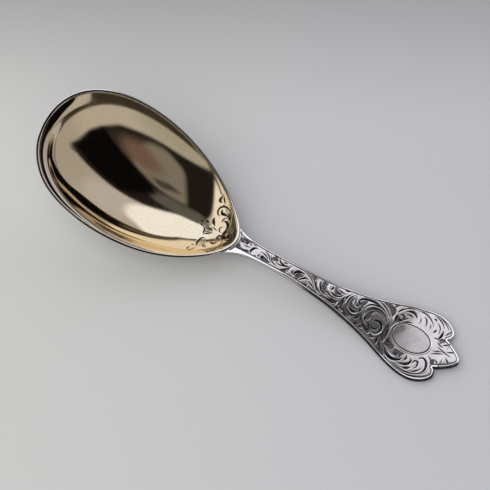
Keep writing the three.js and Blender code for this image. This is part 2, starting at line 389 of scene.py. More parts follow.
def smooth_curve(knots, steps):
    """Catmull-Rom curve from the second knot to the last but one."""
    t = np.linspace(0, 1, steps, endpoint=False)[:, None]
    curve = []
    for a, b, c, d in zip(knots, knots[1:], knots[2:], knots[3:]):
        curve.append(
            0.5 * (2 * b + (c - a) * t + (2 * a - 5 * b + 4 * c - d) * t**2)
            + 0.5 * (3 * b - a - 3 * c + d) * t**3
        )
    return np.concatenate(curve)


def spline(points):
    """A smooth curve through the points."""
    knots = np.asarray(points, float)
    if len(knots) == 2:
        knots = np.stack([knots[0], knots.mean(0), knots[1]])
    ends = np.concatenate([[2 * knots[0] - knots[1]], knots, [2 * knots[-1] - knots[-2]]])
    return np.concatenate([smooth_curve(ends, CURVE_STEPS), knots[-1:]])


def closed_spline(points):
    """A smooth closed curve through the points."""
    knots = np.asarray(points, float)
    return smooth_curve(np.concatenate([knots[-1:], knots, knots[:2]]), RING_STEPS)


def stroke_distance(x, y, path):
    """Distance from each place to a path, and how far along the path the nearest place is."""
    best = np.full(x.shape, np.inf)
    along = np.zeros(x.shape)
    run = np.r_[0, np.cumsum(np.hypot(*np.diff(path, axis=0).T))]
    for i in range(len(path) - 1):
        (ax, ay), (bx, by) = path[i], path[i + 1]
        dx, dy = bx - ax, by - ay
        length2 = dx * dx + dy * dy + 1e-12
        t = np.clip(((x - ax) * dx + (y - ay) * dy) / length2, 0, 1)
        distance = np.hypot(x - ax - t * dx, y - ay - t * dy)
        nearer = distance < best
        best = np.where(nearer, distance, best)
        along = np.where(nearer, lerp(run[i], run[i + 1], t), along)
    return best, along / run[-1]


# Engraver's cuts: (half width, start taper, end taper, points). A taper of 0 is a blunt end.
NECK_CUTS = (
    # heel of the handle: leaf sprays beside the first scroll
    (0.13, 1, 1, ((54.2, 1.75), (55.2, 1.55), (56.2, 1.45), (57, 1.6))),
    (0.12, 1, 1, ((54.3, 1.3), (54.5, 0.9), (55, 0.5), (55.7, 0.1))),
    (0.14, 1, 1, ((55.6, 1.3), (55.9, 0.9), (56.2, 0.4), (56.5, 0.25))),
    (0.12, 1, 1, ((56.7, 1), (57, 0.75), (57.4, 0.75))),
    (0.12, 1, 1, ((57.1, 1.5), (57.9, 1.25), (58.8, 1.3))),
    (0.12, 1, 1, ((54.3, 0.2), (54.6, -0.6), (55.3, -1.2))),
    (0.13, 1, 1, ((54.1, -0.6), (54.3, -1.2), (54.8, -1.6))),
    (0.1, 1, 1, ((55.2, 0.3), (55.8, -0.1), (56.6, -0.1), (57.5, 0.25))),
    (0.11, 1, 1, ((55.6, -1.55), (56.4, -1.25), (57.2, -1), (57.6, -0.8))),
    # first scroll
    (0.24, 0.4, 1, ((57.9, -1.35), (57.85, -0.6), (58.05, 0.05), (58.45, 0.55), (59.3, 0.85))),
    (0.11, 1, 1, ((60, 0.05), (60.5, 0.28), (61.2, 0.2), (62, -0.1), (62.9, -0.7))),
    (0.13, 1, 1, ((60.5, 1.15), (61.4, 0.9), (62.2, 0.5), (62.8, -0.1), (63.4, -0.8), (64.2, -1.2))),
    (0.13, 0.3, 1, ((60.15, -1.2), (60.15, -0.8), (60.35, -0.4))),
    (0.24, 0.4, 1, ((60.75, -1.15), (61, -0.7), (61.5, -0.4))),
    (0.1, 1, 1, ((61.6, -0.5), (62.2, -0.85), (63, -1))),
    (0.12, 1, 1, ((59, -1.65), (59.4, -1.45), (59.6, -1.2))),
    (0.1, 1, 1, ((59.4, 1.5), (60.6, 1.5), (61.8, 1.2), (62.2, 0.9))),
    # second scroll
    (0.17, 0.5, 0.5, ((63.5, 1.2), (64.1, 1.32), (64.8, 1.15))),
    (0.17, 0.6, 1, ((65.1, 1.45), (65.25, 0.9), (65.7, 0.4), (66.4, 0.15), (67.2, 0.2), (67.9, 0.6))),
    (0.12, 1, 1, ((66.3, 1.2), (66.6, 0.88), (67.1, 0.85), (67.4, 1.1))),
    (0.13, 1, 1, ((64.4, -0.2), (65.1, -0.4), (65.9, -0.35), (66.7, -0.1), (67.6, 0.2), (68.2, 0.9))),
    (0.12, 1, 1, ((62.4, 1.2), (62.9, 0.5), (63.5, -0.3), (64.3, -0.85), (65.3, -1.15))),
    # third scroll
    (0.13, 1, 1, ((68.1, -1.5), (68.2, -0.6), (68.2, 0.2), (68.6, 1))),
    (0.14, 1, 1, ((69.5, 0.35), (69.35, -0.3), (69.6, -0.8), (69.95, -1.2))),
    (0.27, 0.4, 1, (
        (70.1, -0.95), (69.98, -0.3), (70.3, 0.25), (70.9, 0.65), (71.7, 0.85), (72.5, 0.75),
    )),
    (0.1, 1, 1, ((70.8, 1.3), (72, 1.4), (73.2, 1.1), (74.2, 0.6), (75, -0.1), (75.9, -1))),
    (0.2, 0.4, 1, ((71.7, -1.4), (72, -0.8), (72.5, -0.3), (73, 0), (73.7, -0.05))),
    (0.14, 0.5, 1, ((72.1, -1.9), (72.8, -1.75), (73.3, -1.5))),
    (0.17, 0.4, 1, ((73.2, -1.95), (73.7, -1.6), (74.2, -1.3))),
    (0.1, 1, 1, ((73.6, -0.6), (74.6, -0.75), (75.4, -1.1), (76.3, -1.6))),
    (0.1, 1, 1, ((74.6, -1.5), (75.5, -1.7), (76.6, -1.95), (77.6, -2.05))),
)

MIDDLE_CUTS = (
    # wave crest that ends the third scroll
    (0.12, 1, 1, (
        (72, 1.85), (73.4, 1.55), (74.5, 1.05), (75.3, 0.4), (75.9, -0.4), (76.6, -1.2), (77.6, -1.8),
    )),
    # fourth scroll: a hook with a wide back
    (0.13, 1, 1, ((75.8, 1.7), (75.55, 1), (75.8, 0.2), (76.2, -0.5), (76.9, -1.2), (77.9, -1.7))),
    (0.23, 0.6, 0.6, (
        (76.75, 1.3), (76.85, 0.6), (77.2, -0.1), (77.8, -0.75), (78.7, -1.08), (79.7, -1),
    )),
    (0.12, 1, 1, ((77.2, 2.1), (77.6, 1.9), (77.8, 1.5))),
    # fifth scroll: a hook with a ball end
    (0.18, 0.5, 1, ((79.85, 1.9), (79.95, 1.35), (79.75, 0.95), (79.4, 0.85))),
    (0.24, 1, 0.6, ((79.6, 0.55), (80.1, 0.15), (81, -0.02), (81.9, 0.2), (82.6, 0.65), (82.95, 1.2))),
    (0.12, 1, 1, ((78.6, 1.5), (78.5, 0.7), (78.9, 0), (79.6, -0.6), (80.8, -0.85), (82.2, -0.6))),
    (0.13, 1, 1, ((81.05, 2.5), (81.4, 2.05), (82, 1.65), (82.9, 1.55), (83.6, 1.8))),
    (0.18, 0.5, 0.5, ((82.5, 2.8), (83.2, 2.68), (84, 2.85))),
    (0.17, 0.5, 1, ((81.6, 1.3), (82, 1.02), (82.7, 1))),
    (0.13, 1, 1, ((84.7, 2.5), (84.25, 1.7), (83.95, 0.8), (83.8, -0.2), (83.7, -1))),
    (0.2, 0.7, 0.7, ((83.5, 0.3), (83.5, -0.4), (83.8, -1.1))),
    # leaf under the fifth scroll
    (0.1, 1, 1, ((79, -1.7), (80.2, -1.75), (81.2, -1.5), (82.2, -1.2))),
    (0.1, 1, 1, ((80, -2.1), (81, -2.05), (81.9, -1.8), (82.5, -1.4))),
    (0.12, 1, 1, ((82.95, -1), (83, -1.7), (82.85, -2.3))),
    (0.22, 0.5, 0.5, ((82.7, -2.6), (83.2, -2.5), (83.6, -2.6))),
    (0.1, 1, 1, ((82.3, -1.4), (82.3, -1.9), (82.1, -2.3))),
    (0.12, 1, 1, ((84.4, -1.3), (84.7, -2.2), (85.4, -3), (86.4, -3.4))),
    # sixth scroll: a shell of nested ridges
    (0.11, 1, 1, ((85.5, 2.8), (85, 1.9), (84.75, 0.9), (84.8, -0.1), (85.1, -0.8))),
    (0.11, 1, 1, (
        (86, 2.6), (85.55, 1.8), (85.4, 0.9), (85.6, 0.1), (86.2, -0.4), (87, -0.45), (87.7, -0.1),
    )),
    (0.11, 1, 1, ((86.4, 2.2), (86.2, 1.4), (86.35, 0.75), (86.8, 0.45))),
    (0.15, 1, 1, ((87, 1), (87.2, 0.5), (86.9, 0.35))),
    (0.26, 0.8, 0.8, ((85.5, -0.6), (86.1, -1.15), (87, -1.3), (87.7, -0.95))),
    (0.2, 0.8, 0.8, ((85.4, -1.6), (86.2, -2.2), (87.1, -2.35), (87.9, -2))),
    (0.15, 0.6, 1, ((88.05, 0.7), (88.2, 0), (88, -0.8))),
    (0.18, 0.8, 1, ((88.35, -1), (88.5, -1.7), (88.2, -2.4), (87.5, -2.9))),
    (0.1, 1, 1, ((84.9, -1.9), (85.7, -2.7), (86.6, -3.05), (87.3, -3))),
    # seventh scroll: the large spiral
    (0.3, 0.5, 1, (
        (87, 1.7), (87.15, 2.4), (87.8, 3.05), (88.8, 3.5), (90, 3.7), (91.3, 3.6), (92.6, 3.2),
    )),
    (0.18, 0.5, 1, ((87.05, 1.9), (87.3, 1.4), (87.75, 0.9))),
    (0.13, 1, 1, ((89.6, 4.75), (91, 4.7), (92.4, 4.3), (93.8, 3.6), (95, 2.6), (95.9, 1.5))),
    (0.16, 1, 1, (
        (88.9, 0.7), (89.1, 1.6), (89.7, 2.45), (90.7, 3.05), (91.9, 3.3), (93.2, 3.05), (94.5, 2.2),
        (95.4, 1.2),
    )),
    (0.2, 1, 1, (
        (89.8, -0.2), (89.85, 0.6), (90.3, 1.5), (91.2, 2.25), (92.3, 2.55), (93.5, 2.25), (94.5, 1.5),
        (95.2, 0.5),
    )),
    (0.12, 1, 1, ((90.4, 0.4), (90.8, 1.2), (91.7, 1.85), (92.8, 1.9), (93.8, 1.4), (94.6, 0.6))),
    (0.3, 0.7, 0.8, (
        (92.1, -0.75), (92.7, -0.35), (93.5, -0.2), (94.3, -0.5), (94.85, -1.2), (94.85, -2.1),
        (94.4, -2.9),
    )),
    (0.12, 1, 1, ((91.7, 0.5), (91.6, 0), (91.75, -0.5), (92.1, -0.8))),
    (0.14, 1, 1, ((92, -1.6), (92.3, -2.3), (93, -2.6), (93.7, -2.3), (93.8, -1.7), (93.3, -1.35))),
    (0.2, 0.6, 0.6, ((90.15, -0.8), (90.15, -1.3), (90.4, -1.8))),
    (0.12, 1, 1, ((91.5, -1.4), (91.6, -2.2), (92.1, -2.9), (92.9, -3.3))),
    (0.22, 0.8, 0.8, ((92.9, -4.2), (93.7, -4.45), (94.5, -4.2))),
    (0.12, 1, 1, ((88.7, 0.2), (88.9, -0.8), (89.3, -1.8), (90, -2.6), (90.9, -3), (91.8, -3.1))),
    # curls below the spiral
    (0.17, 0.6, 1, ((88.75, -3.1), (88.7, -3.7), (88.9, -4.25))),
    (0.1, 1, 1, ((89.4, -3), (89.2, -3.6), (89.4, -4.2))),
    (0.2, 0.6, 0.6, ((89.9, -3.95), (90.3, -3.75), (90.5, -3.95))),
    (0.13, 1, 1, ((91, -3.6), (91.6, -3.5), (92.2, -3.7))),
    (0.1, 1, 1, ((90.6, -4.5), (91.6, -4.4), (92.4, -4.7), (93.4, -5.1))),
)

TERMINAL_CUTS = (
    # leaf along the upper border, before the lobe
    (0.18, 1, 0.6, ((91.2, 5.15), (92.6, 5.45), (94, 6), (94.3, 6.3))),
    (0.18, 0.7, 1, ((94.1, 5.6), (94.3, 6.2), (94.9, 6.6))),
    (0.14, 1, 1, ((95.2, 6.5), (96.3, 6.75), (97.6, 7.3))),
    # upper lobe, from the cartouche outwards
    (0.24, 1, 0.5, ((98, 5.6), (98.7, 6.15), (99.5, 6.45), (100.3, 6.35), (100.9, 5.9), (101.1, 5.5))),
    (0.14, 1, 1, ((96.5, 3.4), (96.5, 4.4), (96.9, 5.4), (97.8, 6.5), (99, 7.25), (100.5, 7.7))),
    (0.14, 1, 1, ((100.5, 7.6), (102, 7.85), (103.4, 7.55), (104.5, 6.9), (105.4, 6), (105.8, 5.1))),
    (0.12, 1, 1, ((105.6, 7.2), (106.5, 6.8), (107.2, 6), (107.5, 5), (107.4, 4.2))),
    (0.16, 1, 1, ((102.3, 7.05), (103.1, 6.7), (103.6, 6), (103.85, 5.2), (103.8, 4.5))),
    (0.09, 1, 1, ((101.6, 6.6), (102.1, 5.9), (102.3, 5.1), (102.2, 4.5))),
    (0.09, 1, 1, ((104.6, 6), (105, 5.2), (105.1, 4.4))),
    (0.15, 0.7, 1, ((106.15, 4.1), (106.5, 4.7), (106.6, 5.4))),
    (0.17, 0.6, 0.8, ((104.8, 7.75), (105.3, 7.65), (105.7, 7.35))),
    (0.15, 1, 1, ((104.2, 8.5), (105.6, 8.4), (106.8, 7.85), (107.7, 7), (108.2, 6))),
    (0.24, 1, 0.8, ((108.1, 6.2), (108.35, 5.2), (108.35, 4.2), (108.15, 3.3), (108.5, 2.5))),
    (0.12, 1, 1, ((104.8, 8.9), (106.5, 8.6), (108, 7.8), (109.1, 6.8), (109.6, 5.8))),
    (0.12, 1, 1, ((109, 4.7), (109.5, 5.5), (110, 6.5))),
    (0.12, 1, 1, ((109.9, 7), (109.9, 6.2), (109.4, 5.4), (109.1, 4.9))),
    (0.12, 1, 1, ((99.9, 8.3), (101.5, 8.5), (103.3, 8.6))),
    # heavy outline of the cartouche, on its upper left
    (0.2, 0.8, 0.8, (
        (100.9, 3.8), (100, 3.6), (99.1, 3.1), (98.2, 2.35), (97.5, 1.45), (97.1, 0.5), (97.1, -0.5),
    )),
    # curls between the spiral and the cartouche
    (0.2, 1, 1, ((96.9, 4.4), (96.75, 3.4), (96.7, 2.4), (96.8, 1.4))),
    (0.15, 0.7, 1, ((97.1, 4.1), (97.7, 4.35), (98.3, 4.1), (98.5, 3.5))),
    (0.12, 1, 1, ((98.7, 4.9), (99.1, 5.3), (99.8, 5.3), (100.4, 4.9))),
    (0.12, 1, 1, ((97.2, 3), (97.9, 3.1), (98.4, 2.8))),
    (0.12, 1, 1, ((95.9, 0.6), (96.3, -0.6), (96.5, -1.8), (96.5, -3))),
    (0.12, 1, 1, ((97, -3.2), (97.6, -3.6), (98.3, -3.6))),
    (0.14, 1, 1, ((97, -4), (97.7, -4.4), (98.4, -4.3))),
    (0.14, 0.8, 1, ((95.3, -3.3), (95.1, -4.2), (95.3, -5.1), (95.2, -5.9))),
    (0.11, 1, 1, ((95.9, -3.8), (95.9, -4.7), (96.4, -5.6), (97.3, -6.4))),
    # lower lobe
    (0.3, 1, 0.8, (
        (97.5, -4.9), (98, -5.8), (98.9, -6.55), (100.1, -6.9), (101.3, -6.8), (102.2, -6.2),
        (102.6, -5.2),
    )),
    (0.13, 1, 1, ((99.6, -5.3), (100.2, -5.6), (100.9, -5.3), (101, -4.7))),
    (0.24, 0.6, 1, (
        (104.4, -4.6), (104.8, -5.3), (104.55, -6.1), (103.8, -6.7), (102.8, -7.05), (101.7, -7.3),
    )),
    (0.13, 1, 1, ((103.3, -4.5), (103.5, -5.2), (103.2, -6))),
    (0.22, 0.6, 1, (
        (106.1, -3.9), (106.6, -3.3), (107.3, -3.2), (108, -3.7), (108.5, -4.5), (108.7, -5.4),
        (108.4, -6.4), (107.6, -7.3),
    )),
    (0.15, 1, 1, (
        (105.3, -5.9), (105.4, -5.1), (105.8, -4.65), (106.35, -4.8), (106.6, -5.5), (106.5, -6.2),
        (106, -6.7),
    )),
    (0.25, 0.6, 1, ((103.5, -7.6), (104.2, -7.55), (105, -7.1), (105.5, -6.6))),
    (0.13, 1, 1, (
        (99.2, -7.4), (101, -7.9), (103, -8.35), (105, -8.3), (106.8, -7.8), (108.3, -7), (109.2, -6),
        (109.3, -5),
    )),
    (0.11, 1, 1, ((105.3, -7.8), (106.5, -7.3), (107.4, -6.5), (107.8, -5.6))),
    (0.11, 1, 1, (
        (100.6, -8.4), (103, -8.85), (105.5, -8.75), (107.6, -8.1), (109.2, -7.2), (110, -6.2),
    )),
    # middle lobe: a leaf with crossing ribs
    (0.14, 1, 1, ((109.6, 2.1), (110.5, 2.6), (111.2, 3.2))),
    (0.14, 1, 1, ((111, 0.9), (112.2, 1.3), (113.4, 2.1))),
    (0.12, 1, 1, ((111.5, -0.5), (112.3, -1.2), (113.1, -2.1))),
    (0.12, 1, 1, ((108.2, 1.3), (109.4, 1), (111, 0.45), (113.2, 0.1))),
    (0.1, 1, 1, ((108, -0.5), (109.3, 0.1), (110.6, 0.5))),
    (0.12, 1, 1, ((108, -1.4), (109.4, -0.5), (111, 0.1))),
    (0.12, 1, 1, ((109.6, -2.1), (110.4, -2.7), (110.9, -3.2))),
    (0.12, 1, 1, ((107.9, 2.4), (108.9, 1.9), (110.3, 1.5))),
    (0.16, 0.8, 0.8, ((109.2, 3.7), (110.1, 3.55), (111, 3.25))),
    (0.16, 0.8, 0.8, ((109.3, -3.5), (110.3, -3.35), (111.2, -3))),
    (0.1, 1, 1, ((106.9, 2.9), (107.8, 3.1), (108.1, 2.8))),
    (0.1, 1, 1, ((107.8, -2), (108.6, -2.6), (108.9, -3.3))),
)

# Sunk matted grounds between the scrolls, as closed outlines
GROUNDS = (
    (
        (53.9, 1.3), (54.3, 1.6), (55.8, 1.55), (57.4, 1.5), (56.6, 1.1), (56, 0.5), (55, 0.55),
        (54.3, 0.3),
    ),
    (
        (53.9, -0.3), (54.6, -0.5), (55.4, -1.1), (56.8, -1.2), (57.3, -0.9), (57.5, -1.6),
        (55.4, -1.75), (54.1, -1.7),
    ),
    ((61.6, -0.55), (62.3, -0.9), (63.3, -1.15), (62.8, -1.6), (61.3, -1.55), (60.9, -1.1)),
    ((66.5, -1.5), (67, -0.9), (67.7, -0.2), (68.1, 0.2), (67.95, -0.7), (67.9, -1.6)),
    ((70.6, -1.2), (70.4, -0.4), (70.9, 0.25), (71.7, 0.4), (72.2, 0.1), (71.6, -0.7), (71.3, -1.6)),
    ((63.4, 0.6), (64.3, 1), (64.9, 0.6), (65.1, 0.1), (64.4, 0.1), (63.7, -0.2)),
    ((74, 1.75), (75.3, 1.75), (75.4, 1.2), (75.2, 0.8), (74.5, 1.3)),
    (
        (77.3, 1.6), (78.4, 1.9), (78.35, 0.9), (78.7, 0), (79.2, -0.6), (78.6, -0.8), (77.9, -0.4),
        (77.3, 0.4),
    ),
    ((80.3, 1.9), (80.6, 0.8), (81.1, 0.35), (81.9, 0.6), (82.2, 1), (81.4, 1.5), (80.9, 2.2)),
    ((79.3, -1.3), (81, -1.1), (82.5, -0.9), (82.3, -1.5), (81.4, -2.2), (79.6, -2.1), (78.2, -1.95)),
    ((83.2, 0.2), (83.7, 0.9), (83.6, -0.2), (84.1, -1.4), (84.6, -2.6), (83.6, -2.3), (83.2, -1.2)),
    ((87.6, 1.5), (88, 2.6), (88.8, 3.1), (88.9, 2.3), (88.5, 1.3), (88.6, 0.4), (88.1, 0.8)),
    ((90.3, -0.2), (90.7, 0.9), (91.5, 1.5), (91.3, 0.6), (91.3, -0.5), (90.9, -1.4), (90.4, -1)),
    ((90.6, -2.9), (91.5, -3), (92.6, -3.6), (92.4, -4.3), (91.2, -4), (90.3, -3.3)),
    ((92.4, 5), (94.2, 5.6), (96, 6.4), (95.5, 5.2), (96.1, 4.2), (95.8, 2.6), (95.1, 3.2), (94, 4.2)),
    ((95.6, -0.2), (96.2, 0.3), (96.6, -1.2), (96.9, -2.8), (96.4, -4.4), (95.6, -3.4), (95.5, -1.8)),
    ((97, 1.8), (97, 3.6), (98, 3.7), (98.6, 4.4), (99.3, 4.3), (98.4, 3.1), (97.5, 2.1)),
    ((97.3, -2.6), (98.2, -3.3), (99.6, -4), (99.3, -5), (98.2, -4.8), (97.3, -3.9)),
    ((100, -4.4), (101.6, -4.4), (102.5, -4.5), (102, -5.6), (101.2, -6), (100.6, -5.9)),
    ((108.5, 3.1), (108.9, 3.7), (109.9, 3.3), (109.2, 2.5), (108.9, 2.1)),
    ((108.9, -2.6), (109.6, -2.3), (109.9, -3.2), (109.1, -3.7)),
    ((96, -6.2), (97.4, -6), (98.4, -7.1), (97.4, -7.2), (96, -6.7)),
)

# Narrow raised ribs: (half width, height, points)
RIBS = (
    (0.16, 0.05, ((86.5, 2.5), (86.6, 1.6), (87, 0.95))),
    (0.17, 0.06, ((86, 1.7), (85.95, 1), (86.3, 0.3), (86.9, 0.05), (87.5, 0.2))),
    (0.18, 0.07, ((85.1, -0.95), (85.8, -1.6), (86.7, -1.85), (87.5, -1.55), (88.1, -1))),
    (0.16, 0.06, ((82.6, -1.05), (82.68, -1.6), (82.6, -2.15))),
    (0.17, 0.07, (
        (92.9, -3.5), (93.5, -3.85), (94.2, -3.75), (94.9, -3.1), (95.25, -2.2), (95.15, -1.2),
        (94.6, -0.4),
    )),
    (0.18, 0.07, (
        (98.5, -5.2), (98.95, -5.85), (99.8, -6.25), (100.7, -6.3), (101.35, -5.9), (101.5, -5.3),
    )),
    (0.15, 0.06, ((89.75, 0.1), (89.7, -0.6), (89.8, -1.4), (90.2, -2.1), (90.9, -2.45), (91.5, -2.7))),
    (0.2, 0.06, (
        (79.5, 1.75), (79.15, 1.6), (79, 1.1), (79.2, 0.5), (79.8, -0.1), (80.8, -0.42), (81.9, -0.3),
    )),
    (0.2, 0.06, (
        (76.9, 1.85), (76.4, 1.6), (76.3, 0.9), (76.5, 0.1), (77.1, -0.8), (78.4, -1.4), (80.5, -1.5),
    )),
    (0.14, 0.06, (
        (85.9, 3.5), (85.2, 2.7), (84.6, 1.8), (84.35, 0.8), (84.35, -0.3), (84.7, -1.2), (85.3, -2.2),
        (86.3, -2.9),
    )),
    (0.2, 0.07, (
        (86.5, 3.4), (87.3, 3.75), (88.3, 4.1), (89.5, 4.35), (90.5, 4.35), (91.8, 4.05), (92.8, 3.65),
        (94, 2.9), (95, 2), (95.8, 1.2),
    )),
    (0.14, 0.06, (
        (89.3, 0.3), (89.45, 1.3), (90.1, 2.3), (91.2, 2.85), (92.4, 2.95), (93.8, 2.6), (94.9, 1.8),
        (95.6, 1),
    )),
    (0.2, 0.06, ((94.5, 5.9), (95.2, 5.1))),
    (0.14, 0.05, ((97, 5.9), (98, 6.95), (99.2, 7.65), (101, 8.15), (103.6, 8.3))),
    (0.12, 0.05, ((106.2, 7.2), (107.1, 6.6), (107.75, 5.8), (107.9, 4.9))),
    (0.15, 0.06, ((96.6, 1.3), (96.3, 2.5), (96.25, 3.5), (96.4, 4.5))),
    (0.14, 0.05, ((97.2, 3.45), (97.8, 3.5), (98.1, 3.2))),
    (0.14, 0.05, ((98.3, 4.9), (98.8, 4.5), (98.7, 4))),
)

# Cuts in the gilt hollow, at the heel, in the same terms
HOLLOW_CUTS = (
    # comma and its tail
    (0.25, 1, 0.7, ((44.1, 9.8), (43.75, 9.1), (43.6, 8.65), (43.75, 8.3), (44.4, 8.05))),
    (0.13, 1, 1, ((44.15, 9.7), (44.3, 9.25), (44.7, 8.75), (45.5, 7.85))),
    # large C scroll with its eye
    (0.2, 0.6, 1, (
        (45.7, 5.15), (45, 5.35), (44.4, 6.1), (44.55, 7), (45.4, 7.4), (46.6, 7.2), (48, 6.3),
    )),
    (0.28, 0.5, 1, ((45.3, 6.75), (45.4, 6.3), (45.75, 5.85), (46.5, 5.75), (47.6, 5.4))),
    # S scroll
    (0.15, 1, 0.8, ((47.75, 5.1), (47.2, 5), (46.8, 4.65), (46.75, 4.2), (47.2, 4))),
    (0.27, 0.4, 0.8, ((47.1, 4.35), (47.9, 4.2), (48.6, 3.7), (48.95, 2.9), (48.8, 2), (48.5, 1.4))),
    (0.16, 1, 1, ((48.6, 4.65), (48.85, 4.45), (49.05, 4.1))),
    (0.14, 0.8, 1, ((47.85, 2.45), (47.6, 2.8), (47.15, 2.7), (47.1, 2.2), (47.4, 1.65), (48.3, 1.25))),
    (0.09, 1, 1, ((47.6, 7.15), (48.55, 6.35), (49.1, 5.2), (49.5, 3.75), (49.6, 2.7))),
    # spike
    (0.29, 0.6, 1, ((44.45, 4.55), (44.4, 4.1), (44.6, 3.6), (45.6, 2.5))),
    (0.13, 1, 1, ((44.65, 2.35), (45.8, 1.95), (47, 1.45))),
    # five-pointed leaf: contour, then veins
    (0.2, 0.8, 0.6, ((41.2, 2.5), (41.65, 2.6), (42, 2.65))),
    (0.2, 0.8, 0.8, ((42.1, 2.65), (42.1, 3), (42.3, 3.25))),
    (0.27, 0.8, 0.7, ((42.5, 3.15), (43.15, 3.05), (43.75, 3.05))),
    (0.15, 0.8, 0.8, ((41.35, 2.35), (41.95, 1.8), (42.7, 1.5))),
    (0.21, 1, 0.8, ((42.7, 1.5), (43.4, 0.95), (43.6, 0.2), (43.85, -0.6))),
    (0.18, 0.8, 1, ((43.85, -0.6), (44.25, -0.15), (45, 0.25), (45.65, 0.65), (46.25, 0.65))),
    (0.17, 1, 1, ((44.45, 1.9), (45.1, 1.6), (45.7, 1))),
    (0.11, 1, 1, ((42.2, 2.4), (43.4, 2.1), (44.8, 1.5), (46.2, 0.9))),
    (0.11, 1, 1, ((42.9, 1.5), (44, 1.4), (45.4, 1))),
    (0.1, 1, 1, ((43.9, 0.2), (44.4, 0.7), (45.2, 0.9))),
    # crescent with a hatched leaf
    (0.27, 1, 0.6, ((44.7, -5.25), (44.1, -4.1), (43.9, -3), (44, -2), (44.4, -1.4), (45.05, -1.45))),
    (0.17, 1, 1, ((45.1, -1.55), (45.85, -2), (46.4, -2.6))),
    (0.16, 0.8, 1, ((46.3, -4.7), (45.8, -3.75), (45.75, -3.1))),
    (0.16, 0.8, 1, ((46.85, -4.5), (46.5, -4), (46.2, -3.55))),
    (0.13, 1, 1, ((44.7, -5.25), (44.4, -5.95), (44.1, -6.7), (43.6, -7.4))),
    # small curl beyond it
    (0.15, 1, 1, ((43.2, -7.5), (42.95, -6.65), (43.1, -5.95), (43.35, -5.6))),
    (0.23, 0.8, 0.8, ((43.4, -7.2), (43.8, -7.05), (44, -6.7))),
    (0.12, 1, 1, ((43.1, -5.15), (43.3, -4.75), (43.9, -4.95))),
    # scrolls under the heel
    (0.21, 0.4, 1, ((46.85, -1.9), (47.3, -2.35), (47.9, -2.35), (48.4, -1.9), (48.6, -1.4))),
    (0.2, 0.8, 0.8, (
        (47.9, -1.05), (47.6, -0.7), (47.75, 0), (48.05, 0.55), (48.6, 0.35), (48.8, -0.1),
        (48.6, -0.5),
    )),
    (0.14, 1, 1, ((48.8, 0.25), (49.8, -0.9), (49.85, -2.3), (49.3, -3.7), (47.95, -5.2), (46.6, -5.7))),
    (0.32, 1, 1, ((48.6, 0.6), (48.85, 1.5), (49.3, 2.3))),
    (0.17, 1, 1, (
        (49.5, 0.1), (50.15, -0.5), (51.1, -0.4), (51.45, 0.45), (50.9, 1.3), (50, 1.4), (50, 0.6),
        (50.8, 0.5),
    )),
)

# Hatched grounds in the gilt hollow, and a painted dark reflection at the heel: (darkness, depth of its
# hatching, closed outline)
HATCH_PITCH = 0.3
HOLLOW_GROUNDS_AND_REFLECTION = (
    (0.55, 0.5, (
        (41.4, 2.4), (42.2, 2.8), (43.2, 3), (43.9, 2.8), (44.3, 1.9),
        (45.8, 0.95), (44.3, -0.2), (43.9, -0.5), (43.4, 0.95), (42.1, 1.7),
    )),
    (0.5, 0.6, ((44.4, -4.2), (44.15, -2.5), (44.75, -1.7), (46, -2.35), (46.05, -3.6), (45.1, -4.6))),
    # painted dark brown reflection at the heel, near the lip, unhatched
    (0.8, 0, (
        (51.9, 3.1), (52.7, 1.65), (52.8, 0.4), (52.6, -0.85), (52.1, -1.85), (51.2, -2.6),
        (50.6, -2.8), (50.4, -1.4), (51.6, 0.3), (51.1, 2.2), (51.3, 2.9),
    )),
)

# Painted dark blue reflection on the silver, between the shell scroll and the cartouche
DARK_REFLECTION_ZONE = (
    (83.6, -1.8), (84.2, 1.2), (86.2, 2.4), (88.6, 1.6), (90.2, 2.4), (92.6, 2.6), (95, 1.6),
    (97.2, 2.4), (99.4, 2.5), (100.2, 1.4), (98.9, -0.6), (98.4, -2.6), (100.2, -4.2), (102.2, -5.6),
    (101, -7), (97.6, -6.6), (95, -4.4), (91, -3.2), (87.4, -2.8),
)

# How deep and how dark the ornament is: gains widen the cuts, and the rest is mm or shares
HANDLE_CUT_GAIN = 1.2
HOLLOW_CUT_GAIN = 1.3
HOLLOW_CUT_LIMIT = 0.35 * GILT_SKIN
CUT_DEPTH_SHARE = 0.6
LEAST_CUT = 0.015
FIELD_FALL = 0.03
FIELD_REACH = 0.22
GROUND_DEPTH = 0.12
GROUND_DARKNESS = 0.68
RIB_FOOT = 0.06
RIM_GROOVE = 0.1
GROOVE_DARKNESS = 0.9
BEAD_AT = 0.2
BEAD_HEIGHT = 0.04
# strength of the painted dark blue reflection
DARK_REFLECTION_STRENGTH = 0.5
CARTOUCHE_DULLING = 0.26


def stroke_shape(t, start, end):
    """Share of its full width that a cut has at t, with tapered or blunt ends."""
    opening = np.clip(t / 0.45, 0, 1) ** (0.9 * start) if start else np.ones_like(t)
    closing = np.clip((1 - t) / 0.45, 0, 1) ** (0.9 * end) if end else np.ones_like(t)
    return np.minimum(opening, closing)


def near(x, y, path, margin):
    """Numbers of the places in a path's box, grown by a margin."""
    low, high = path.min(0) - margin, path.max(0) + margin
    return np.flatnonzero((x > low[0]) & (x < high[0]) & (y > low[1]) & (y < high[1]))


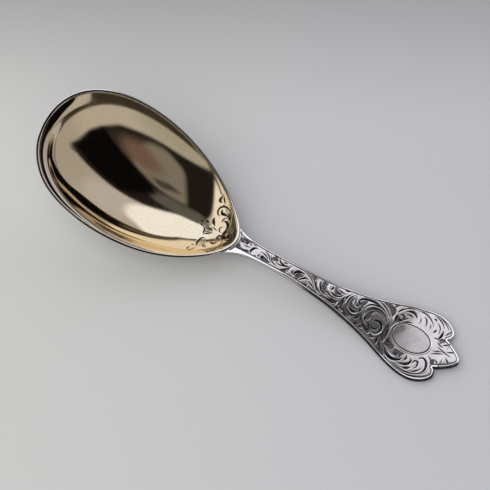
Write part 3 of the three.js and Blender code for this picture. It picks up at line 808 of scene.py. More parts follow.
def engrave(x, y, cuts, gain):
    """Depth of the cuts in mm, how dark they are, and the distance to the nearest edge.

    gain widens the cuts.
    """
    depth = np.zeros(x.shape)
    dark = np.zeros(x.shape)
    clear = np.full(x.shape, FIELD_REACH)
    for drawn, start, end, points in cuts:
        half = drawn * gain
        path = spline(points)
        some = near(x, y, path, half + FIELD_REACH)
        if not len(some):
            continue
        distance, along = stroke_distance(x[some], y[some], path)
        width = np.maximum(half * stroke_shape(along, start, end), LEAST_CUT)
        inside = np.clip(1 - distance / width, 0, 1)
        depth[some] = np.maximum(depth[some], CUT_DEPTH_SHARE * width * inside)
        shown = smoothstep(inside, 0, 0.15) * smoothstep(width, LEAST_CUT, 0.06)
        dark[some] = np.maximum(dark[some], shown)
        clear[some] = np.minimum(clear[some], np.maximum(distance - width, 0) + 0.6 * (half - width))
    return depth, dark, clear


def inside_of(x, y, ring):
    """Signed distance to a closed outline, positive inside."""
    distance, _ = stroke_distance(x, y, np.concatenate([ring, ring[:1]]))
    inside = np.zeros(x.shape, bool)
    for (ax, ay), (bx, by) in zip(ring, np.roll(ring, -1, 0)):
        crosses = (ay > y) != (by > y)
        with np.errstate(divide="ignore", invalid="ignore"):
            inside ^= crosses & (x < (bx - ax) * (y - ay) / (by - ay) + ax)
    return np.where(inside, distance, -distance)


def hash_noise(i, j, seed):
    """Fixed pseudo-random numbers from 0 to 1 on a lattice."""
    mixed = np.sin(i * 127.1 + j * 311.7 + seed * 74.7) * 43758.5453
    return mixed - np.floor(mixed)


def value_noise(x, y, size, seed):
    """Smooth noise from 0 to 1 with patches of this size."""
    gx, gy = x / size, y / size
    i, j = np.floor(gx), np.floor(gy)
    fx, fy = gx - i, gy - j
    fx, fy = fx * fx * (3 - 2 * fx), fy * fy * (3 - 2 * fy)
    low = lerp(hash_noise(i, j, seed), hash_noise(i + 1, j, seed), fx)
    high = lerp(hash_noise(i, j + 1, seed), hash_noise(i + 1, j + 1, seed), fx)
    return lerp(low, high, fy)


def bell(x, width):
    return np.exp(-((x / width) ** 2))


def field_edges(x, y, edge):
    """Distances from the border, the bowl's heel and the cartouche, positive in the field."""
    oval = np.hypot((x - CARTOUCHE_AT) / (CARTOUCHE_LENGTH / 2), y / (CARTOUCHE_WIDTH / 2))
    from_oval = (oval - 1) * CARTOUCHE_WIDTH / 2
    in_border = edge - BORDER_WIDTH - LOBE_BORDER_EXTRA * smoothstep(x, 104, 108)
    below = lerp(in_border, y + BAND_LINE, on_neck(x, 65, 70))
    above = lerp(in_border, UPPER_BAND_LINE - y, on_neck(x, 55, 59))
    above = lerp(above, edge - HEEL_SIDE_BORDER, on_neck(x, 54.5, 57))
    from_border = np.where(y < 0, below, above)
    from_heel = (share_through(x, y, JOINT_GAP) - 1) * BOWL_LENGTH / 2 - HEEL_BORDER
    return from_border, from_heel, from_oval


def sunk_grounds(x, y):
    """1 in the sunk grounds, 0 outside them."""
    ground = np.zeros(x.shape)
    for points in GROUNDS:
        ring = closed_spline(points)
        some = near(x, y, ring, 0.3)
        if len(some):
            sunk = smoothstep(inside_of(x[some], y[some], ring), -0.1, 0.12)
            ground[some] = np.maximum(ground[some], sunk)
    return ground


def raise_ribs(x, y, height, dark, ground):
    """Raises the ribs, clears them of darkness and grounds, and says where they are."""
    polish = np.zeros(x.shape)
    for half, rise, points in RIBS:
        path = spline(points)
        some = near(x, y, path, half * 1.5)
        if len(some):
            distance, along = stroke_distance(x[some], y[some], path)
            width = half * np.maximum(stroke_shape(along, 0.6, 0.6), 0.2)
            ridge = np.clip(1 - (distance / width) ** 4, 0, 1) ** 0.5
            height[some] = np.maximum(height[some], ridge * (rise + RIB_FOOT) - RIB_FOOT)
            dark[some] *= 1 - ridge
            ground[some] *= 1 - ridge
            polish[some] = np.maximum(polish[some], ridge)
    return polish


def handle_relief(x, y, edge):
    """Height of the carving over the crowned crest, its darkness with a painted dark reflection, and its
    polish.

    edge is the distance to the outline.
    """
    depth, dark, clear = engrave(x, y, NECK_CUTS + MIDDLE_CUTS + TERMINAL_CUTS, HANDLE_CUT_GAIN)
    from_border, from_heel, from_oval = field_edges(x, y, edge)
    in_field = smoothstep(from_border, -0.04, 0.08) * smoothstep(from_heel, -0.04, 0.08)
    in_field = in_field * smoothstep(from_oval, 0.2, 0.3)

    ground = sunk_grounds(x, y)
    pillow = FIELD_FALL * (1 - smoothstep(clear, 0, FIELD_REACH))
    matted = 0.03 * (value_noise(x, y, 0.17, 3) - 0.5) + 0.02 * (value_noise(x, y, 0.1, 5) - 0.5)
    height = -pillow - depth - ground * (GROUND_DEPTH + matted)
    polish = raise_ribs(x, y, height, dark, ground)

    # grooves that set off the border, the cartouche and the bowl's heel
    heel = bell(from_heel, 0.1) * smoothstep(edge, 0.2, 0.6)
    groove = np.maximum(np.maximum(bell(from_border, 0.09), bell(from_oval, 0.1)), heel)
    bead = bell(from_oval - BEAD_AT, 0.1)
    height = np.where(in_field > 0, height * in_field, 0) - RIM_GROOVE * groove + BEAD_HEIGHT * bead
    border = 1 - smoothstep(np.minimum(from_border, from_heel), -0.15, -0.05)
    polish = np.maximum(np.maximum(polish * in_field, border), bead)
    dark = np.maximum(dark * in_field, GROOVE_DARKNESS * groove)
    dark = np.maximum(dark, GROUND_DARKNESS * ground * in_field)
    # painted dark blue reflection in its zone, and the duller cartouche, both kept off the border and the
    # ribs
    blue = DARK_REFLECTION_STRENGTH * smoothstep(inside_of(x, y, closed_spline(DARK_REFLECTION_ZONE)), -0.6, 0.5)
    dull = CARTOUCHE_DULLING * smoothstep(from_oval, 0, -0.2)
    dark = np.maximum(dark, np.maximum(blue, dull) * (1 - np.maximum(border, polish)))
    return height, dark, polish


# Meshes
BOWL_SIDES = 400
LINING_SIDES = 460
TOP_SPACING = 0.092
UNDER_SPACING = 0.6
RIM_SPACING = 0.11
GUIDE_STEP = 0.08
GUIDES = 5
DISTANCE_LIMIT = 2


def in_scene(name, data):
    """A new object with this data, linked into the scene."""
    made = bpy.data.objects.new(name, data)
    bpy.context.scene.collection.objects.link(made)
    return made


def mesh_object(name, points, faces, dark, polish=None):
    """A smooth mesh in metres from points in mm, with x from the bowl's tip."""
    points = np.asarray(points, float) - (HALF_LENGTH, 0, 0)
    mesh = bpy.data.meshes.new(name)
    mesh.from_pydata((points * METRE).tolist(), [], faces)
    mesh.update()
    mesh.polygons.foreach_set("use_smooth", [True] * len(mesh.polygons))
    # the darkening carries oxidation in recesses and painted dark reflections; polish mixes in a second
    # colour, for wear, gilt, a thin wash and a painted sheen
    for title, values in (("patina_and_painted_shade", dark), ("polish", polish)):
        if values is not None:
            layer = mesh.attributes.new(title, "FLOAT", "POINT")
            layer.data.foreach_set("value", np.asarray(values, np.float32))
    return in_scene(name, mesh)


def ring_faces(rings, sides):
    """Quads between successive rings of points, which run clockwise seen from the last ring."""
    i, j = np.meshgrid(np.arange(rings - 1), np.arange(sides), indexing="ij")
    a = (i * sides + j).ravel()
    b = (i * sides + (j + 1) % sides).ravel()
    return np.stack([a, a + sides, b + sides, b], 1).tolist()


def hollow_rings(shares, angles, outset, depth):
    """Rings of points on the bowl's form, grown by an outset and sunk by a depth."""
    share, angle = np.meshgrid(shares, angles, indexing="ij")
    drop, out = flare(share, angle)
    x, y = egg_point(share, angle, outset + out)
    height = hollow_height(x, share, depth, HEEL_HEIGHT) - drop - sag(share, angle)
    return np.stack([x, y, height], -1)


def closed_skin(name, rings, dark, polish):
    """A closed body through rings of points; the first and last ring shrink to a point."""
    sides = rings.shape[1]
    hubs = np.stack([rings[0].mean(0), rings[-1].mean(0)])
    points = np.concatenate([rings.reshape(-1, 3), hubs])
    faces = ring_faces(len(rings), sides)
    first, last = len(points) - 2, len(points) - 1
    end = (len(rings) - 1) * sides
    for j in range(sides):
        k = (j + 1) % sides
        faces.append([first, j, k])
        faces.append([last, end + k, end + j])
    shades = [np.r_[part.ravel(), 0, 0] for part in (dark, polish)]
    return mesh_object(name, points, faces, *shades)


def lip_height(across):
    """Height of the lip over the walls, from its inner edge (0) to its outer edge (1)."""
    return LIP_HEIGHT * (1 - abs(2 * across - 1) ** LIP_SQUARENESS) ** (1 / LIP_SQUARENESS)


def bowl_shell():
    """The silver of the bowl: its outside, its rounded lip and its hollow."""
    angles = np.linspace(0, 2 * math.pi, BOWL_SIDES, endpoint=False)
    shares = np.r_[np.linspace(0.02, 0.9, 44), np.linspace(0.91, 1, 18)]
    outer = hollow_rings(shares, angles, 0, BOWL_DROP)
    outer[..., 2] = np.maximum(outer[..., 2], 0)
    across = np.linspace(1, 0, 14)[1:-1]
    lip = [hollow_rings([1], angles, LIP_WIDTH * (q - 1), 0) + (0, 0, lip_height(q)) for q in across]
    inner_shares = np.r_[np.linspace(1, 0.9, 14), np.linspace(0.89, 0.02, 48)]
    inner = hollow_rings(inner_shares, angles, -LIP_WIDTH, BOWL_DEPTH)
    rings = np.concatenate([outer, *lip, inner])
    on_lip = slice(len(shares), len(shares) + len(lip))
    # darker band under the lip and on its outer edge, along both sides
    turn = np.degrees(signed_turn(angles))
    sides = smoothstep(turn, 38, 60) + smoothstep(turn, -62, -80)
    sides = sides * (1 - smoothstep(np.abs(turn), 140, 165))
    dark = np.zeros(rings.shape[:2])
    dark[: len(shares)] = LIP_DARKENING * smoothstep(shares, 0.972, 0.988)[:, None] * sides
    dark[on_lip] = LIP_DARKENING * smoothstep(across, 0.6, 0.72)[:, None] * sides
    # gold wash over the inner edge of the lip
    gilt = np.zeros(rings.shape[:2])
    gilt[on_lip] = 1 - smoothstep(across, 0.5, 0.62)[:, None]
    return closed_skin("bowl_shell", rings, dark, gilt)


def spread_angles(count):
    """Angles round the bowl, up to 3.6 times as close at the heel as at the tip."""
    even = np.linspace(0, 2 * math.pi, 4001)
    density = 1 + 2.6 * bell(even - math.pi, 0.95)
    run = np.r_[0, np.cumsum((density[1:] + density[:-1]) / 2)]
    return np.interp(np.linspace(0, run[-1], count, endpoint=False), run, even)


def hollow_ornament(x, y):
    """Depth and darkness of the engraving in the gilt hollow, with its hatched grounds and a painted dark
    reflection at the heel.
    """
    depth, dark, _ = engrave(x, y, HOLLOW_CUTS, HOLLOW_CUT_GAIN)
    for shade, hatch, points in HOLLOW_GROUNDS_AND_REFLECTION:
        ring = closed_spline(points)
        some = near(x, y, ring, 0.2)
        wave = np.sin((x[some] + 0.8 * y[some]) * 2 * math.pi / HATCH_PITCH)
        lines = 1 - hatch * (0.5 + 0.5 * wave)
        fill_in = shade * lines * smoothstep(inside_of(x[some], y[some], ring), -0.1, 0.1)
        dark[some] = np.maximum(dark[some], fill_in)
    return np.minimum(depth, HOLLOW_CUT_LIMIT), dark


def gilt_lining():
    """The gold wash in the hollow: a thin skin, engraved at the heel and worn along the rim."""
    angles = spread_angles(LINING_SIDES)
    seat = -LIP_WIDTH - GILT_SEAT
    under = hollow_rings(np.linspace(0.02, 1, 20), angles, seat, BOWL_DEPTH - GILT_SEAT)
    shares = np.r_[np.linspace(1, 0.56, 122), np.linspace(0.55, 0.02, 34)]
    top = hollow_rings(shares, angles, seat - GILT_SKIN, BOWL_DEPTH - GILT_SEAT - GILT_SKIN)
    depth, dark = hollow_ornament(top[..., 0].ravel(), top[..., 1].ravel())
    top[..., 2] -= depth.reshape(top.shape[:2])
    rings = np.concatenate([under, top])
    # engraving darkness, with the painted dark reflection at the heel
    patina_and_painted_shade = np.concatenate([np.zeros(under.shape[:2]), dark.reshape(top.shape[:2])])
    # wash worn thin along the rim, from the tip to the -Y side
    turn = np.degrees(signed_turn(angles))
    side = smoothstep(turn, -10, -40) * (1 - smoothstep(turn, -100, -135))
    thin = np.zeros(rings.shape[:2])
    thin[len(under) :] = smoothstep(shares, 0.78, 0.93)[:, None] * side
    return closed_skin("gilt_lining", rings, patina_and_painted_shade, thin)


def closed_outline(spacing):
    """The handle's whole edge, and the directions that point outwards along it."""
    upper = half_outline(spacing)
    tangent = np.gradient(upper, axis=0)
    outward = np.stack([-tangent[:, 1], tangent[:, 0]], 1)
    outward /= np.linalg.norm(outward, axis=1)[:, None]
    lower = upper[::-1] * (1, -1)
    return np.concatenate([upper, lower]), np.concatenate([outward, outward[::-1] * (1, -1)])


def fill(outline, spacing, clearance, guides=()):
    """Triangles inside a closed outline; its points come first, then guide points, then a lattice."""
    low, high = outline.min(0), outline.max(0)
    rows = np.arange(low[1], high[1], spacing * math.sqrt(3) / 2)
    lattice = []
    for k, row in enumerate(rows):
        shift = (k % 2) * spacing / 2
        xs = np.arange(low[0] + shift, high[0], spacing)
        lattice.append(np.stack([xs, np.full(xs.shape, row)], 1))
    lattice = np.concatenate(lattice)
    lattice = lattice[outline_distance(lattice, outline) > clearance]
    everything = np.concatenate([outline, *guides, lattice])
    count = len(outline)
    edges = [(i, (i + 1) % count) for i in range(count)]
    made = delaunay_2d_cdt([Vector(p) for p in everything], edges, [], 1, 1e-7)
    order = [origin[0] for origin in made[3]]
    return everything, [[order[v] for v in face] for face in made[2]]


def outline_distance(points, outline):
    """Signed distance of places to the outline, positive inside, measured up to a limit."""
    x, y = points[:, 0], points[:, 1]
    inside = np.zeros(len(points), bool)
    nearest = np.full(len(points), float(DISTANCE_LIMIT))
    ring = np.concatenate([outline, outline[:1]])
    order = np.argsort(x)
    sorted_x = x[order]
    for (ax, ay), (bx, by) in zip(ring, ring[1:]):
        low = np.searchsorted(sorted_x, min(ax, bx) - DISTANCE_LIMIT)
        high = np.searchsorted(sorted_x, max(ax, bx) + DISTANCE_LIMIT)
        some = order[low:high]
        px, py = x[some], y[some]
        dx, dy = bx - ax, by - ay
        t = np.clip(((px - ax) * dx + (py - ay) * dy) / (dx * dx + dy * dy), 0, 1)
        distance = np.hypot(px - ax - t * dx, py - ay - t * dy)
        nearest[some] = np.minimum(nearest[some], distance)
        if ax != bx:
            crosses = (ax > px) != (bx > px)
            inside[some] ^= crosses & (py < dy / dx * (px - ax) + ay)
    return np.where(inside, nearest, -nearest)


def handle_top(x, y):
    return np.minimum(crowned_height(x, y), seat_height(x, y))


def inset_guides(outline, outward):
    """Points in lines along the outline, so that the border's edges run true."""
    guides = []
    for k in range(1, GUIDES + 1):
        inset = EDGE_ROUND + k * GUIDE_STEP
        line = outline - outward * inset
        guides.append(line[outline_distance(line, outline) > 0.97 * inset])
    return guides


# Steps down the handle's rounded edge: (quarter turns, measured from the top)
EDGE_STEPS = (
    (0, True), (0.25, True), (0.5, True), (0.75, True), (1, True), (0.67, False), (0.33, False), (0, False),
)


def edge_rings(outline, outward):
    """Points, painted dark reflection, and painted sheen with a smoother polish, of each ring down the
    rounded edge, to the flat of the underside.
    """
    x, y = outline.T
    top_round = EDGE_ROUND * (0.9 - 0.55 * on_neck(x, 66, 74))
    under_round = np.full(x.shape, 0.95 * EDGE_ROUND)
    bulge = 0.2 * (y < 0) * on_neck(x, 60, 72)
    # painted dark reflections along the rounded edges, stronger or weaker by side and by place along the
    # handle
    upper_side = lerp(0.2, 0.7, on_neck(x, 78, 86))
    lower_side = lerp(0.9, 0.1, on_neck(x, 68.5, 77))
    painted_dark_edge = np.where(y > 0, upper_side, lower_side)
    painted_dark_starts = np.where(y < 0, 0.2, np.where(x < 82, -1, 0.6))
    rings = []
    for turn, from_top in EDGE_STEPS:
        angle = turn * math.pi / 2
        radius = top_round if from_top else under_round
        inset = radius * (1 - math.sin(angle)) - bulge * from_top
        place = outline - outward * inset[:, None]
        fall = radius * (1 - math.cos(angle))
        height = handle_top(*place.T) - fall if from_top else under_height(*place.T) + fall
        shade = painted_dark_edge * (turn > painted_dark_starts) if from_top else painted_dark_edge
        # painted sheen: the -Y rounding is made brighter in colour, and smoother
        painted_sheen = (y < 0) * float(from_top and turn < 0.6)
        rings.append((np.column_stack([place, height]), shade, painted_sheen))
    flat = outline - outward * EDGE_ROUND
    plain = np.zeros(len(flat))
    rings.append((np.column_stack([flat, under_height(*flat.T)]), plain, plain))
    return rings


def carved_handle():
    """The handle: a carved top, a rounded edge and a plain underside."""
    outline, outward = closed_outline(RIM_SPACING)
    inner = outline - outward * EDGE_ROUND
    clearance = GUIDES * GUIDE_STEP + TOP_SPACING * 0.6
    top_points, top_faces = fill(inner, TOP_SPACING, clearance, inset_guides(outline, outward))
    x, y = top_points.T
    relief, dark, polish = handle_relief(x, y, outline_distance(top_points, outline))
    on_handle = seat_height(x, y) > crowned_height(x, y)
    top_z = handle_top(x, y) + np.where(on_handle, relief, 0)
    edge = edge_rings(outline, outward)
    under_points, under_faces = fill(inner, UNDER_SPACING, UNDER_SPACING * 0.5)

    # the first points of the top and of the underside are those of the inner outline
    count = len(inner)
    base = len(top_points)
    rings = [np.arange(count)]
    rings += [base + k * count + np.arange(count) for k in range(len(edge))]
    faces = list(top_faces)
    for upper, lower in zip(rings, rings[1:]):
        upper_next, lower_next = np.roll(upper, -1), np.roll(lower, -1)
        faces += np.stack([upper, lower, lower_next, upper_next], 1).tolist()
    inside = under_points[count:]
    index = np.r_[rings[-1], rings[-1][-1] + 1 + np.arange(len(inside))]
    faces += [[int(index[v]) for v in face[::-1]] for face in under_faces]

    top = (np.column_stack([top_points, top_z]), np.where(on_handle, dark, 0), polish)
    plain = np.zeros(len(inside))
    under = (np.column_stack([inside, under_height(*inside.T)]), plain, plain)
    # the painted dark reflections go with the darkening of the recesses, and the painted sheen into the
    # polish attribute
    points, shade, painted_sheen = (np.concatenate(part) for part in zip(top, *edge, under))
    return make_outward(mesh_object("carved_handle", points, faces, shade, painted_sheen))


def make_outward(obj):
    """Turns the faces to look outwards."""
    work = bmesh.new()
    work.from_mesh(obj.data)
    bmesh.ops.recalc_face_normals(work, faces=work.faces)
    if work.calc_volume(signed=True) < 0:
        bmesh.ops.reverse_faces(work, faces=work.faces)
    work.to_mesh(obj.data)
    work.free()
    return obj


def solder_seam():
    """Solder between the tongue and the bowl, with a small fillet that shows round its edge."""
    outline, outward = closed_outline(0.25)
    keep = outline[:, 0] < BOWL_LENGTH + 1.2
    half = np.flatnonzero(keep & (outline[:, 1] > 0))
    upper = outline[half] + outward[half] * SOLDER_FILLET
    share = share_through(upper[:, 0], upper[:, 1], JOINT_GAP - SOLDER_SEAT)
    upper = upper[share < 1]
    # along the lip, at the fillet's outer line
    angles = np.linspace(math.pi / 2, math.pi, 2001)
    lip_x, lip_y = egg_point(1, angles, JOINT_GAP - SOLDER_SEAT)
    lip = np.stack([lip_x, lip_y], 1)[lip_y < upper[-1, 1]]
    path = even_points(np.concatenate([upper, lip]), 0.2)
    path = path[path[:, 1] > 1e-6]
    outline = np.concatenate([path, path[::-1] * (1, -1)])
    flat, top_faces = fill(outline, 0.35, 0.15)
    x, y = flat.T
    top, _ = bowl_underside(x, y, SOLDER_SEAT)
    bottom, _ = bowl_underside(x, y, JOINT_GAP - SOLDER_SEAT)
    points = np.concatenate([np.column_stack([flat, top]), np.column_stack([flat, bottom])])
    total = len(flat)
    faces = list(top_faces) + [[v + total for v in face[::-1]] for face in top_faces]
    for i in range(len(outline)):
        k = (i + 1) % len(outline)
        faces.append([i, i + total, k + total, k])
    return make_outward(mesh_object("solder_fillet", points, faces, np.full(len(points), SOLDER_DULLING)))


# Materials
PATINA_ROUGHNESS = 0.45
SILVER = (0.93, 0.915, 0.89, 1)
SILVER_WARM = (0.9, 0.87, 0.83, 1)
SILVER_PATINA = (0.028, 0.026, 0.027, 1)
GILT = (0.9, 0.76, 0.53, 1)
GILT_PALE = (0.9, 0.77, 0.57, 1)
GILT_THIN = (0.84, 0.75, 0.64, 1)
# dark of the oxidation in the gilt's recesses, also used for the painted dark reflection at the heel
GILT_PATINA_AND_REFLECTION = (0.035, 0.028, 0.02, 1)
USED_SILVER = (0.76, 0.69, 0.635, 1)
USED_SILVER_WARM = (0.73, 0.655, 0.605, 1)
# bright silver of worn ribs and borders, also used for the painted sheen along the -Y edge
WORN_SILVER_AND_SHEEN = (0.95, 0.925, 0.895, 1)
# dark blue of the oxidation in the handle's recesses, also used for its painted dark reflections
BLUE_PATINA_AND_REFLECTION = (0.018, 0.02, 0.028, 1)


class Nodes:
    """Short calls for adding and linking shader nodes."""

    def __init__(self, tree):
        self.tree = tree
        tree.nodes.clear()

    def add(self, kind, inputs=None, **settings):
        node = self.tree.nodes.new(kind)
        for name, value in settings.items():
            setattr(node, name, value)
        for name, value in (inputs or {}).items():
            self.put(node, name, value)
        return node

    def put(self, node, name, value):
        if isinstance(value, bpy.types.NodeSocket):
            self.tree.links.new(value, node.inputs[name])
        else:
            node.inputs[name].default_value = value

    def math(self, operation, a, b=None):
        inputs = {0: a} if b is None else {0: a, 1: b}
        return self.add("ShaderNodeMath", inputs, operation=operation).outputs[0]

    def distance(self, place, centre):
        inputs = {0: place, 1: centre}
        return self.add("ShaderNodeVectorMath", inputs, operation="DISTANCE").outputs["Value"]

    def noise(self, vector, scale, detail):
        inputs = {"Vector": vector, "Scale": scale, "Detail": detail}
        return self.add("ShaderNodeTexNoise", inputs).outputs["Fac"]

    def range(self, value, low, high, to_low, to_high):
        """Smooth step from one range to another."""
        inputs = {"Value": value, "From Min": low, "From Max": high, "To Min": to_low, "To Max": to_high}
        return self.add("ShaderNodeMapRange", inputs, interpolation_type="SMOOTHSTEP").outputs[0]

    def mix(self, share, a, b):
        node = self.add("ShaderNodeMix", data_type="RGBA")
        self.put(node, 0, share)
        self.put(node, 6, a)
        self.put(node, 7, b)
        return node.outputs[2]

    def stretch(self, vector, scale, turn):
        inputs = {"Vector": vector, "Scale": scale, "Rotation": (0, 0, turn)}
        return self.add("ShaderNodeMapping", inputs).outputs[0]


def new_material(name):
    """A new material and the short calls for its nodes."""
    made = bpy.data.materials.new(name)
    made.use_nodes = True
    return made, Nodes(made.node_tree)


def metal(name, colour, warm, rough, scratch, grain=0.1, patina_and_shade_colour=SILVER_PATINA, worn=None):
    """Metal with cloudy polish, hairlines, dark oxidation in its recesses and bright worn edges. The
    darkening attribute also carries painted dark reflections, and the polish attribute a painted sheen.
    """
    made, n = new_material(name)
    place = n.add("ShaderNodeTexCoord").outputs["Object"]
    clouds = n.noise(place, 260, 3)
    fine = n.noise(place, 1500, 2)
    speck = n.noise(place, 3200, 1)
    hair = n.noise(n.stretch(place, (9000, 500, 500), 0.7), 1, 2)
    cross = n.noise(n.stretch(place, (500, 8000, 500), 0.35), 1, 2)
    lines = n.math("MAXIMUM", n.range(hair, 0.66, 0.8, 0, 1), n.range(cross, 0.68, 0.82, 0, 1))
    patina_and_painted_shade = n.add("ShaderNodeAttribute", attribute_name="patina_and_painted_shade").outputs["Fac"]
    polish = n.add("ShaderNodeAttribute", attribute_name="polish").outputs["Fac"]
    speckled = n.math("MULTIPLY", patina_and_painted_shade, n.range(fine, 0.3, 0.7, 0.8, 1.0))
    depth = n.range(speckled, 0.05, 0.85, 0, 1)
    body = n.mix(n.range(clouds, 0.35, 0.7, 0, 1), colour, warm)
    body = n.mix(n.range(speck, 0.35, 0.65, 0, grain), body, [0.75 * part for part in colour[:3]] + [1])
    body = n.mix(polish, body, worn or colour)
    tint = n.mix(depth, body, patina_and_shade_colour)
    cloudy = n.range(clouds, 0.3, 0.75, rough * 0.8, rough * 1.25)
    smooth = n.math("SUBTRACT", 1.0, n.math("MULTIPLY", polish, 0.6))
    marked = n.math("ADD", n.math("MULTIPLY", cloudy, smooth), n.math("MULTIPLY", lines, scratch))
    roughness = {0: depth, 2: marked, 3: PATINA_ROUGHNESS}
    rough_mix = n.add("ShaderNodeMix", roughness, data_type="FLOAT").outputs[0]
    ripple = n.math("ADD", n.math("MULTIPLY", lines, -0.35), n.math("MULTIPLY", fine, 0.25))
    bump = n.add("ShaderNodeBump", {"Height": ripple, "Strength": 0.05, "Distance": 0.00005}).outputs[0]
    shader = n.add(
        "ShaderNodeBsdfPrincipled",
        {"Base Color": tint, "Metallic": 1.0, "Roughness": rough_mix, "Normal": bump},
    )
    n.add("ShaderNodeOutputMaterial", {"Surface": shader.outputs[0]})
    return made


# Studio, with the camera's place in mm
CAMERA_AZIMUTH = math.radians(29.14)
CAMERA_ELEVATION = math.radians(62)
CAMERA_ROLL = math.radians(0.84)
CAMERA_PLACE = (71.8, -131.92, 290.13)
CAMERA_LENS = 95.51
FLOOR_HALF = 3.0

# What the spoon mirrors, from the back layer to the front: (corners, softness, colour).
# The corners are degrees from the zenith, towards +X and towards +Y.
ROOM_COLOUR = (0.495, 0.475, 0.46, 1)
ROOM_LAYERS = (
    # left wall, lit by the window
    (((-47, -60), (-47, 60), (-120, 60), (-120, -60)), 3, (0.93, 0.92, 0.93, 1)),
    # right wall, away from the window
    (((40, 20), (130, 0), (130, 130), (20, 110)), 18, (0.41, 0.39, 0.38, 1)),
    # greyer wall below the camera
    (((-60, -62), (-60, -120), (20, -120), (30, -60)), 14, (0.39, 0.385, 0.355, 1)),
    # cool glow beside the window
    (((6, 24), (22, 30), (38, 44), (38, 62), (20, 78), (2, 60)), 8, (0.52, 0.51, 0.565, 1)),
    # dark side of the room, towards the camera
    ((
        (-50.5, -66), (-20, -65), (8, -61), (24, -55), (46, -41), (60, -21),
        (68, 0), (68, 30), (60, 38), (22, 35), (-33, 9), (-45.5, -20),
    ), 2.5, (0.014, 0.012, 0.011, 1)),
    # sill under the window
    (((-45, -5), (-30, -12), (5, -2), (14, 6), (10, 14), (-40, 9)), 4, (0.11, 0.11, 0.114, 1)),
    # window
    ((
        (-50, 9), (-22, 9), (-8, 13), (1, 21), (11, 31), (15, 41), (11, 55), (-40, 88), (-52, 95),
    ), 3.5, (1, 1.05, 1.2, 1)),
    # camera and hands
    ((
        (-15, -10), (-13, -50), (4, -57), (20, -50), (34, -28), (28, -10), (8, -3),
    ), 4, (0.215, 0.205, 0.19, 1)),
    (((24, -50), (42, -37), (54, -20), (52, -8), (34, -6), (26, -30)), 5, (0.03, 0.027, 0.025, 1)),
    (((6, -32), (24, -44), (42, -30), (36, -14), (16, -14)), 8, (0.165, 0.11, 0.098, 1)),
    (((-10, -20), (2, -21), (16, -11), (8, -7)), 3, (0.06, 0.06, 0.063, 1)),
    (((8, 4), (26, -8), (59, -21), (66, 0), (66, 30), (24, 32)), 3, (0.003, 0.003, 0.003, 1)),
)

# Dark gap above the table, towards the camera's side: beyond a circle, and near the camera
GAP_CENTRE = (-6.9, 14.2, 0)
GAP_EDGE = (90.2, 91.6)
GAP_SIDE = (62, -30, 0)
GAP_SIDE_REACH = (96, 118)
GAP_COLOUR = (0.042, 0.036, 0.03, 1)


def soft_polygon(n, place, corners, soft):
    """1 inside a convex polygon of the sky map, 0 outside, with a soft edge in degrees."""
    made = None
    for (ax, ay), (bx, by) in zip(corners, corners[1:] + corners[:1]):
        length = math.hypot(bx - ax, by - ay)
        normal = (-(by - ay) / length, (bx - ax) / length, 0)
        offset = normal[0] * ax + normal[1] * ay
        dot = n.add("ShaderNodeVectorMath", {0: place, 1: normal}, operation="DOT_PRODUCT").outputs["Value"]
        side = n.range(dot, offset - soft, offset + soft, 0, 1)
        made = side if made is None else n.math("MULTIPLY", made, side)
    return made


def sky_map(n):
    """The sky mapped flat: degrees from the zenith, towards +X and towards +Y."""
    way = n.add("ShaderNodeTexCoord").outputs["Generated"]
    x, y, z = n.add("ShaderNodeSeparateXYZ", {0: way}).outputs
    from_zenith = n.math("MULTIPLY", n.math("ARCCOSINE", z), 180 / math.pi)
    level = n.math("SQRT", n.math("ADD", n.math("MULTIPLY", x, x), n.math("MULTIPLY", y, y)))
    scale = n.math("DIVIDE", from_zenith, n.math("MAXIMUM", level, 1e-5))
    u, v = n.math("MULTIPLY", x, scale), n.math("MULTIPLY", y, scale)
    return n.add("ShaderNodeCombineXYZ", {0: u, 1: v}).outputs[0]


def studio_world():
    """Soft light from a window behind the spoon, pale walls, and the dark of the camera's side."""
    world = bpy.data.worlds.new("studio")
    bpy.context.scene.world = world
    world.use_nodes = True
    n = Nodes(world.node_tree)
    place = sky_map(n)
    colour = ROOM_COLOUR
    for corners, soft, shade in ROOM_LAYERS:
        colour = n.mix(soft_polygon(n, place, corners, soft), colour, shade)
    low = n.range(n.distance(place, GAP_CENTRE), *GAP_EDGE, 0, 1)
    near_camera = n.range(n.distance(place, GAP_SIDE), *GAP_SIDE_REACH, 1, 0)
    colour = n.mix(n.math("MULTIPLY", low, near_camera), colour, GAP_COLOUR)
    shader = n.add("ShaderNodeBackground", {"Color": colour, "Strength": 1})
    n.add("ShaderNodeOutputWorld", {"Surface": shader.outputs[0]})


def floor():
    """The paper that the spoon lies on, with a painted falloff of light: paler towards the left and the
    camera.
    """
    half = FLOOR_HALF
    mesh = bpy.data.meshes.new("floor")
    corners = [(-half, -half, 0), (half, -half, 0), (half, half, 0), (-half, half, 0)]
    mesh.from_pydata(corners, [], [(0, 1, 2, 3)])
    made = in_scene("floor", mesh)
    material, n = new_material("floor_paper")
    place = n.add("ShaderNodeTexCoord").outputs["Object"]
    turned = n.stretch(place, (1, 1, 1), -CAMERA_AZIMUTH)
    right, away, _ = n.add("ShaderNodeSeparateXYZ", {0: turned}).outputs
    # painted light falloff on the paper: paler on the left, darker far from the camera
    tint = n.mix(n.range(right, -0.09, 0.09, 0, 1), (0.515, 0.515, 0.49, 1), (0.455, 0.455, 0.475, 1))
    tint = n.mix(n.range(away, 0.035, 0.11, 0, 1), tint, (0.275, 0.262, 0.262, 1))
    shader = n.add("ShaderNodeBsdfPrincipled", {"Base Color": tint, "Roughness": 0.7})
    n.add("ShaderNodeOutputMaterial", {"Surface": shader.outputs[0]})
    mesh.materials.append(material)


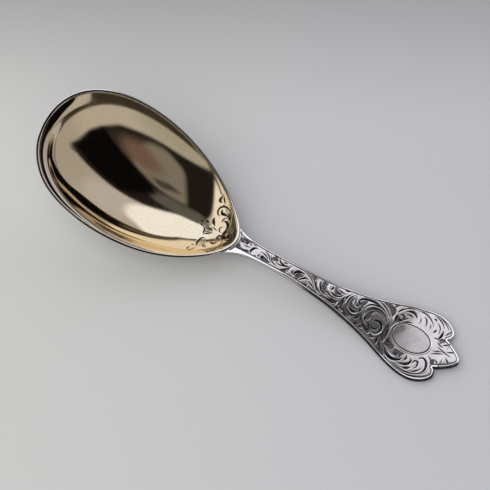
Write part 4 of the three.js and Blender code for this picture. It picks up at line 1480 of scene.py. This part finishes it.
def lamp(name, place, size, energy):
    """Soft light on the floor. It stays out of reflections, where the world shows the room."""
    data = bpy.data.lights.new(name, "AREA")
    data.shape = "RECTANGLE"
    data.size, data.size_y = size
    data.energy = energy
    made = in_scene(name, data)
    made.location = place
    made.rotation_euler = (-made.location).to_track_quat("-Z", "Y").to_euler()
    made.visible_glossy = False


def camera():
    """The photo's camera, turned by its azimuth, its elevation and its roll."""
    a, e, r = CAMERA_AZIMUTH, CAMERA_ELEVATION, CAMERA_ROLL
    back = Vector((math.sin(a) * math.cos(e), -math.cos(a) * math.cos(e), math.sin(e)))
    level = Vector((math.cos(a), math.sin(a), 0))
    rise = back.cross(level)
    right = math.cos(r) * level + math.sin(r) * rise
    up = -math.sin(r) * level + math.cos(r) * rise
    data = bpy.data.cameras.new("camera")
    data.lens = CAMERA_LENS
    data.sensor_width = 36
    data.clip_start = 0.01
    made = in_scene("camera", data)
    turn = Matrix((right, up, back)).transposed().to_4x4()
    made.matrix_world = Matrix.Translation(Vector(CAMERA_PLACE) * METRE) @ turn
    bpy.context.scene.camera = made


# Scene
camera()
studio_world()
floor()
lamp("window", (-0.45, 0.8, 1), (2.4, 2), 3)
lamp("room", (-0.1, -0.75, 0.95), (2.8, 2.2), 30)

silver_bowl = metal("silver_bowl", SILVER, SILVER_WARM, 0.12, 0.1, worn=GILT)
gold_wash = metal("gold_wash", GILT, GILT_PALE, 0.065, 0.06, 0.35, GILT_PATINA_AND_REFLECTION, GILT_THIN)
silver_handle = metal(
    "silver_handle", USED_SILVER, USED_SILVER_WARM, 0.2, 0.12, 0.25, BLUE_PATINA_AND_REFLECTION, WORN_SILVER_AND_SHEEN
)
silver_solder = metal("silver_solder", USED_SILVER, USED_SILVER_WARM, 0.25, 0.12)

for build, node, slot, material in (
    (bowl_shell, "bowl", "silver_bowl", silver_bowl),
    (gilt_lining, "bowl_gilding", "gold_wash", gold_wash),
    (carved_handle, "handle", "silver_handle", silver_handle),
    (solder_seam, "solder_seam", "silver_solder", silver_solder),
):
    piece = build()
    piece.data.materials.append(material)
    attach(piece, "root")
    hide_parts(node)

bpy.context.scene.view_settings.view_transform = "Standard"
